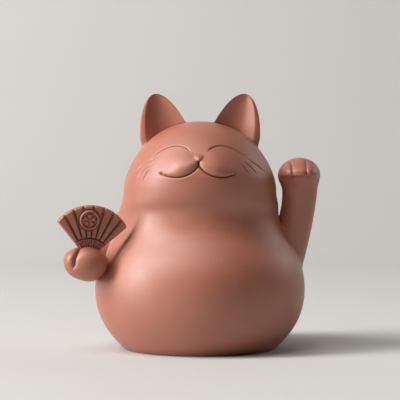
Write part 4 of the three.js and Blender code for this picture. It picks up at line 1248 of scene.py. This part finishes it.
def make_floor(finish):
    """A wide pale floor that sweeps up into a plain wall far behind."""
    half, wall, sweep, top = 3.0, 1.1, 0.6, 3.0
    sweep_rows, columns = 24, 13
    turns = np.linspace(0, math.pi / 2, sweep_rows)
    depths = np.concatenate([[-half], wall - sweep + sweep * np.sin(turns), [wall]])
    heights = np.concatenate([[0], sweep - sweep * np.cos(turns), [top]])
    across = np.linspace(-half, half, columns)
    grid = np.stack([
        across * np.ones(len(depths))[:, None],
        depths[:, None] * np.ones(len(across)),
        heights[:, None] * np.ones(len(across)),
    ], axis=-1)
    skin = Skin()
    skin.cover(skin.add(grid), closed=False)
    mesh = bpy.data.meshes.new("floor")
    mesh.from_pydata(skin.points.tolist(), [], skin.faces)
    mesh.shade_smooth()
    mesh.materials.append(studio_paper(finish))
    floor = bpy.data.objects.new("floor", mesh)
    bpy.context.collection.objects.link(floor)


def make_lights(scene):
    """A tall soft box at the left, weaker ones overhead and behind at the right, and an even surround."""
    aim = Vector((0, 0, 45 * MM))
    surround_colour, surround_strength = (0.8, 0.8, 0.82, 1), 0.06
    # Each box's name, place, width and height in metres, and power in watts
    boxes = [
        ("key_box", (-1.36, -0.42, 0.72), (0.5, 2.2), 54),
        ("top_box", (-0.35, -0.45, 1.40), (0.8, 0.8), 8),
        ("rim_box", (1.20, 0.60, 0.70), (0.7, 0.7), 3),
    ]
    for name, place, (width, height), power in boxes:
        lamp = bpy.data.lights.new(name, "AREA")
        lamp.energy = power
        lamp.shape = "RECTANGLE"
        lamp.size = width
        lamp.size_y = height
        box = bpy.data.objects.new(name, lamp)
        box.location = place
        box.rotation_euler = (aim - Vector(place)).to_track_quat("-Z", "Y").to_euler()
        bpy.context.collection.objects.link(box)
    world = bpy.data.worlds.new("surround")
    world.use_nodes = True
    scene.world = world
    surround = world.node_tree.nodes["Background"]
    surround.inputs["Color"].default_value = surround_colour
    surround.inputs["Strength"].default_value = surround_strength


def make_camera(scene):
    """The camera stands level in front of the cat, a little above half its height."""
    distance, height = 430 * MM, 52 * MM
    sensor_width_mm, focal_length_mm = 36, 109.6
    lens = bpy.data.cameras.new("camera")
    lens.sensor_width = sensor_width_mm
    lens.lens = focal_length_mm
    camera = bpy.data.objects.new("camera", lens)
    camera.location = (0, -distance, height)
    camera.rotation_euler = (math.pi / 2, 0, 0)
    bpy.context.collection.objects.link(camera)
    scene.camera = camera


class CLAYCAT_PT_panel(bpy.types.Panel):
    """Lists the clay cat's pieces in the sidebar"""

    bl_idname = "CLAYCAT_PT_panel"
    bl_label = "Clay Cat"
    bl_space_type = "VIEW_3D"
    bl_region_type = "UI"
    bl_category = "Clay Cat"

    def draw(self, context):
        for operator in OPERATORS:
            self.layout.operator(operator.bl_idname)
        for name in PROPERTY_GROUPS:
            box = self.layout.box()
            group = getattr(context.scene, name)
            for field in group.__annotations__:
                box.prop(group, field)


PROPERTY_GROUPS = {
    "clay_cat_body": ClayCatBody,
    "clay_cat_face": ClayCatFace,
    "clay_cat_limbs": ClayCatLimbs,
    "clay_cat_fan": ClayCatFan,
    "clay_cat_finish": ClayCatFinish,
}

OPERATORS = (
    CLAYCAT_OT_stage,
    CLAYCAT_OT_shells,
    CLAYCAT_OT_base,
    CLAYCAT_OT_ears,
    CLAYCAT_OT_nose,
    CLAYCAT_OT_arms,
    CLAYCAT_OT_tail,
    CLAYCAT_OT_fan,
)


def register():
    for name, group in PROPERTY_GROUPS.items():
        bpy.utils.register_class(group)
        setattr(bpy.types.Scene, name, bpy.props.PointerProperty(type=group))
    for kind in (*OPERATORS, CLAYCAT_PT_panel):
        bpy.utils.register_class(kind)


def unregister():
    for kind in (CLAYCAT_PT_panel, *reversed(OPERATORS)):
        bpy.utils.unregister_class(kind)
    for name, group in reversed(PROPERTY_GROUPS.items()):
        delattr(bpy.types.Scene, name)
        bpy.utils.unregister_class(group)


def main():
    register()
    bpy.ops.clay_cat.stage()
    bpy.ops.clay_cat.shells()
    bpy.ops.clay_cat.base()
    bpy.ops.clay_cat.ears()
    bpy.ops.clay_cat.nose()
    bpy.ops.clay_cat.arms()
    bpy.ops.clay_cat.tail()
    bpy.ops.clay_cat.fan()


if __name__ == "__main__":
    main()
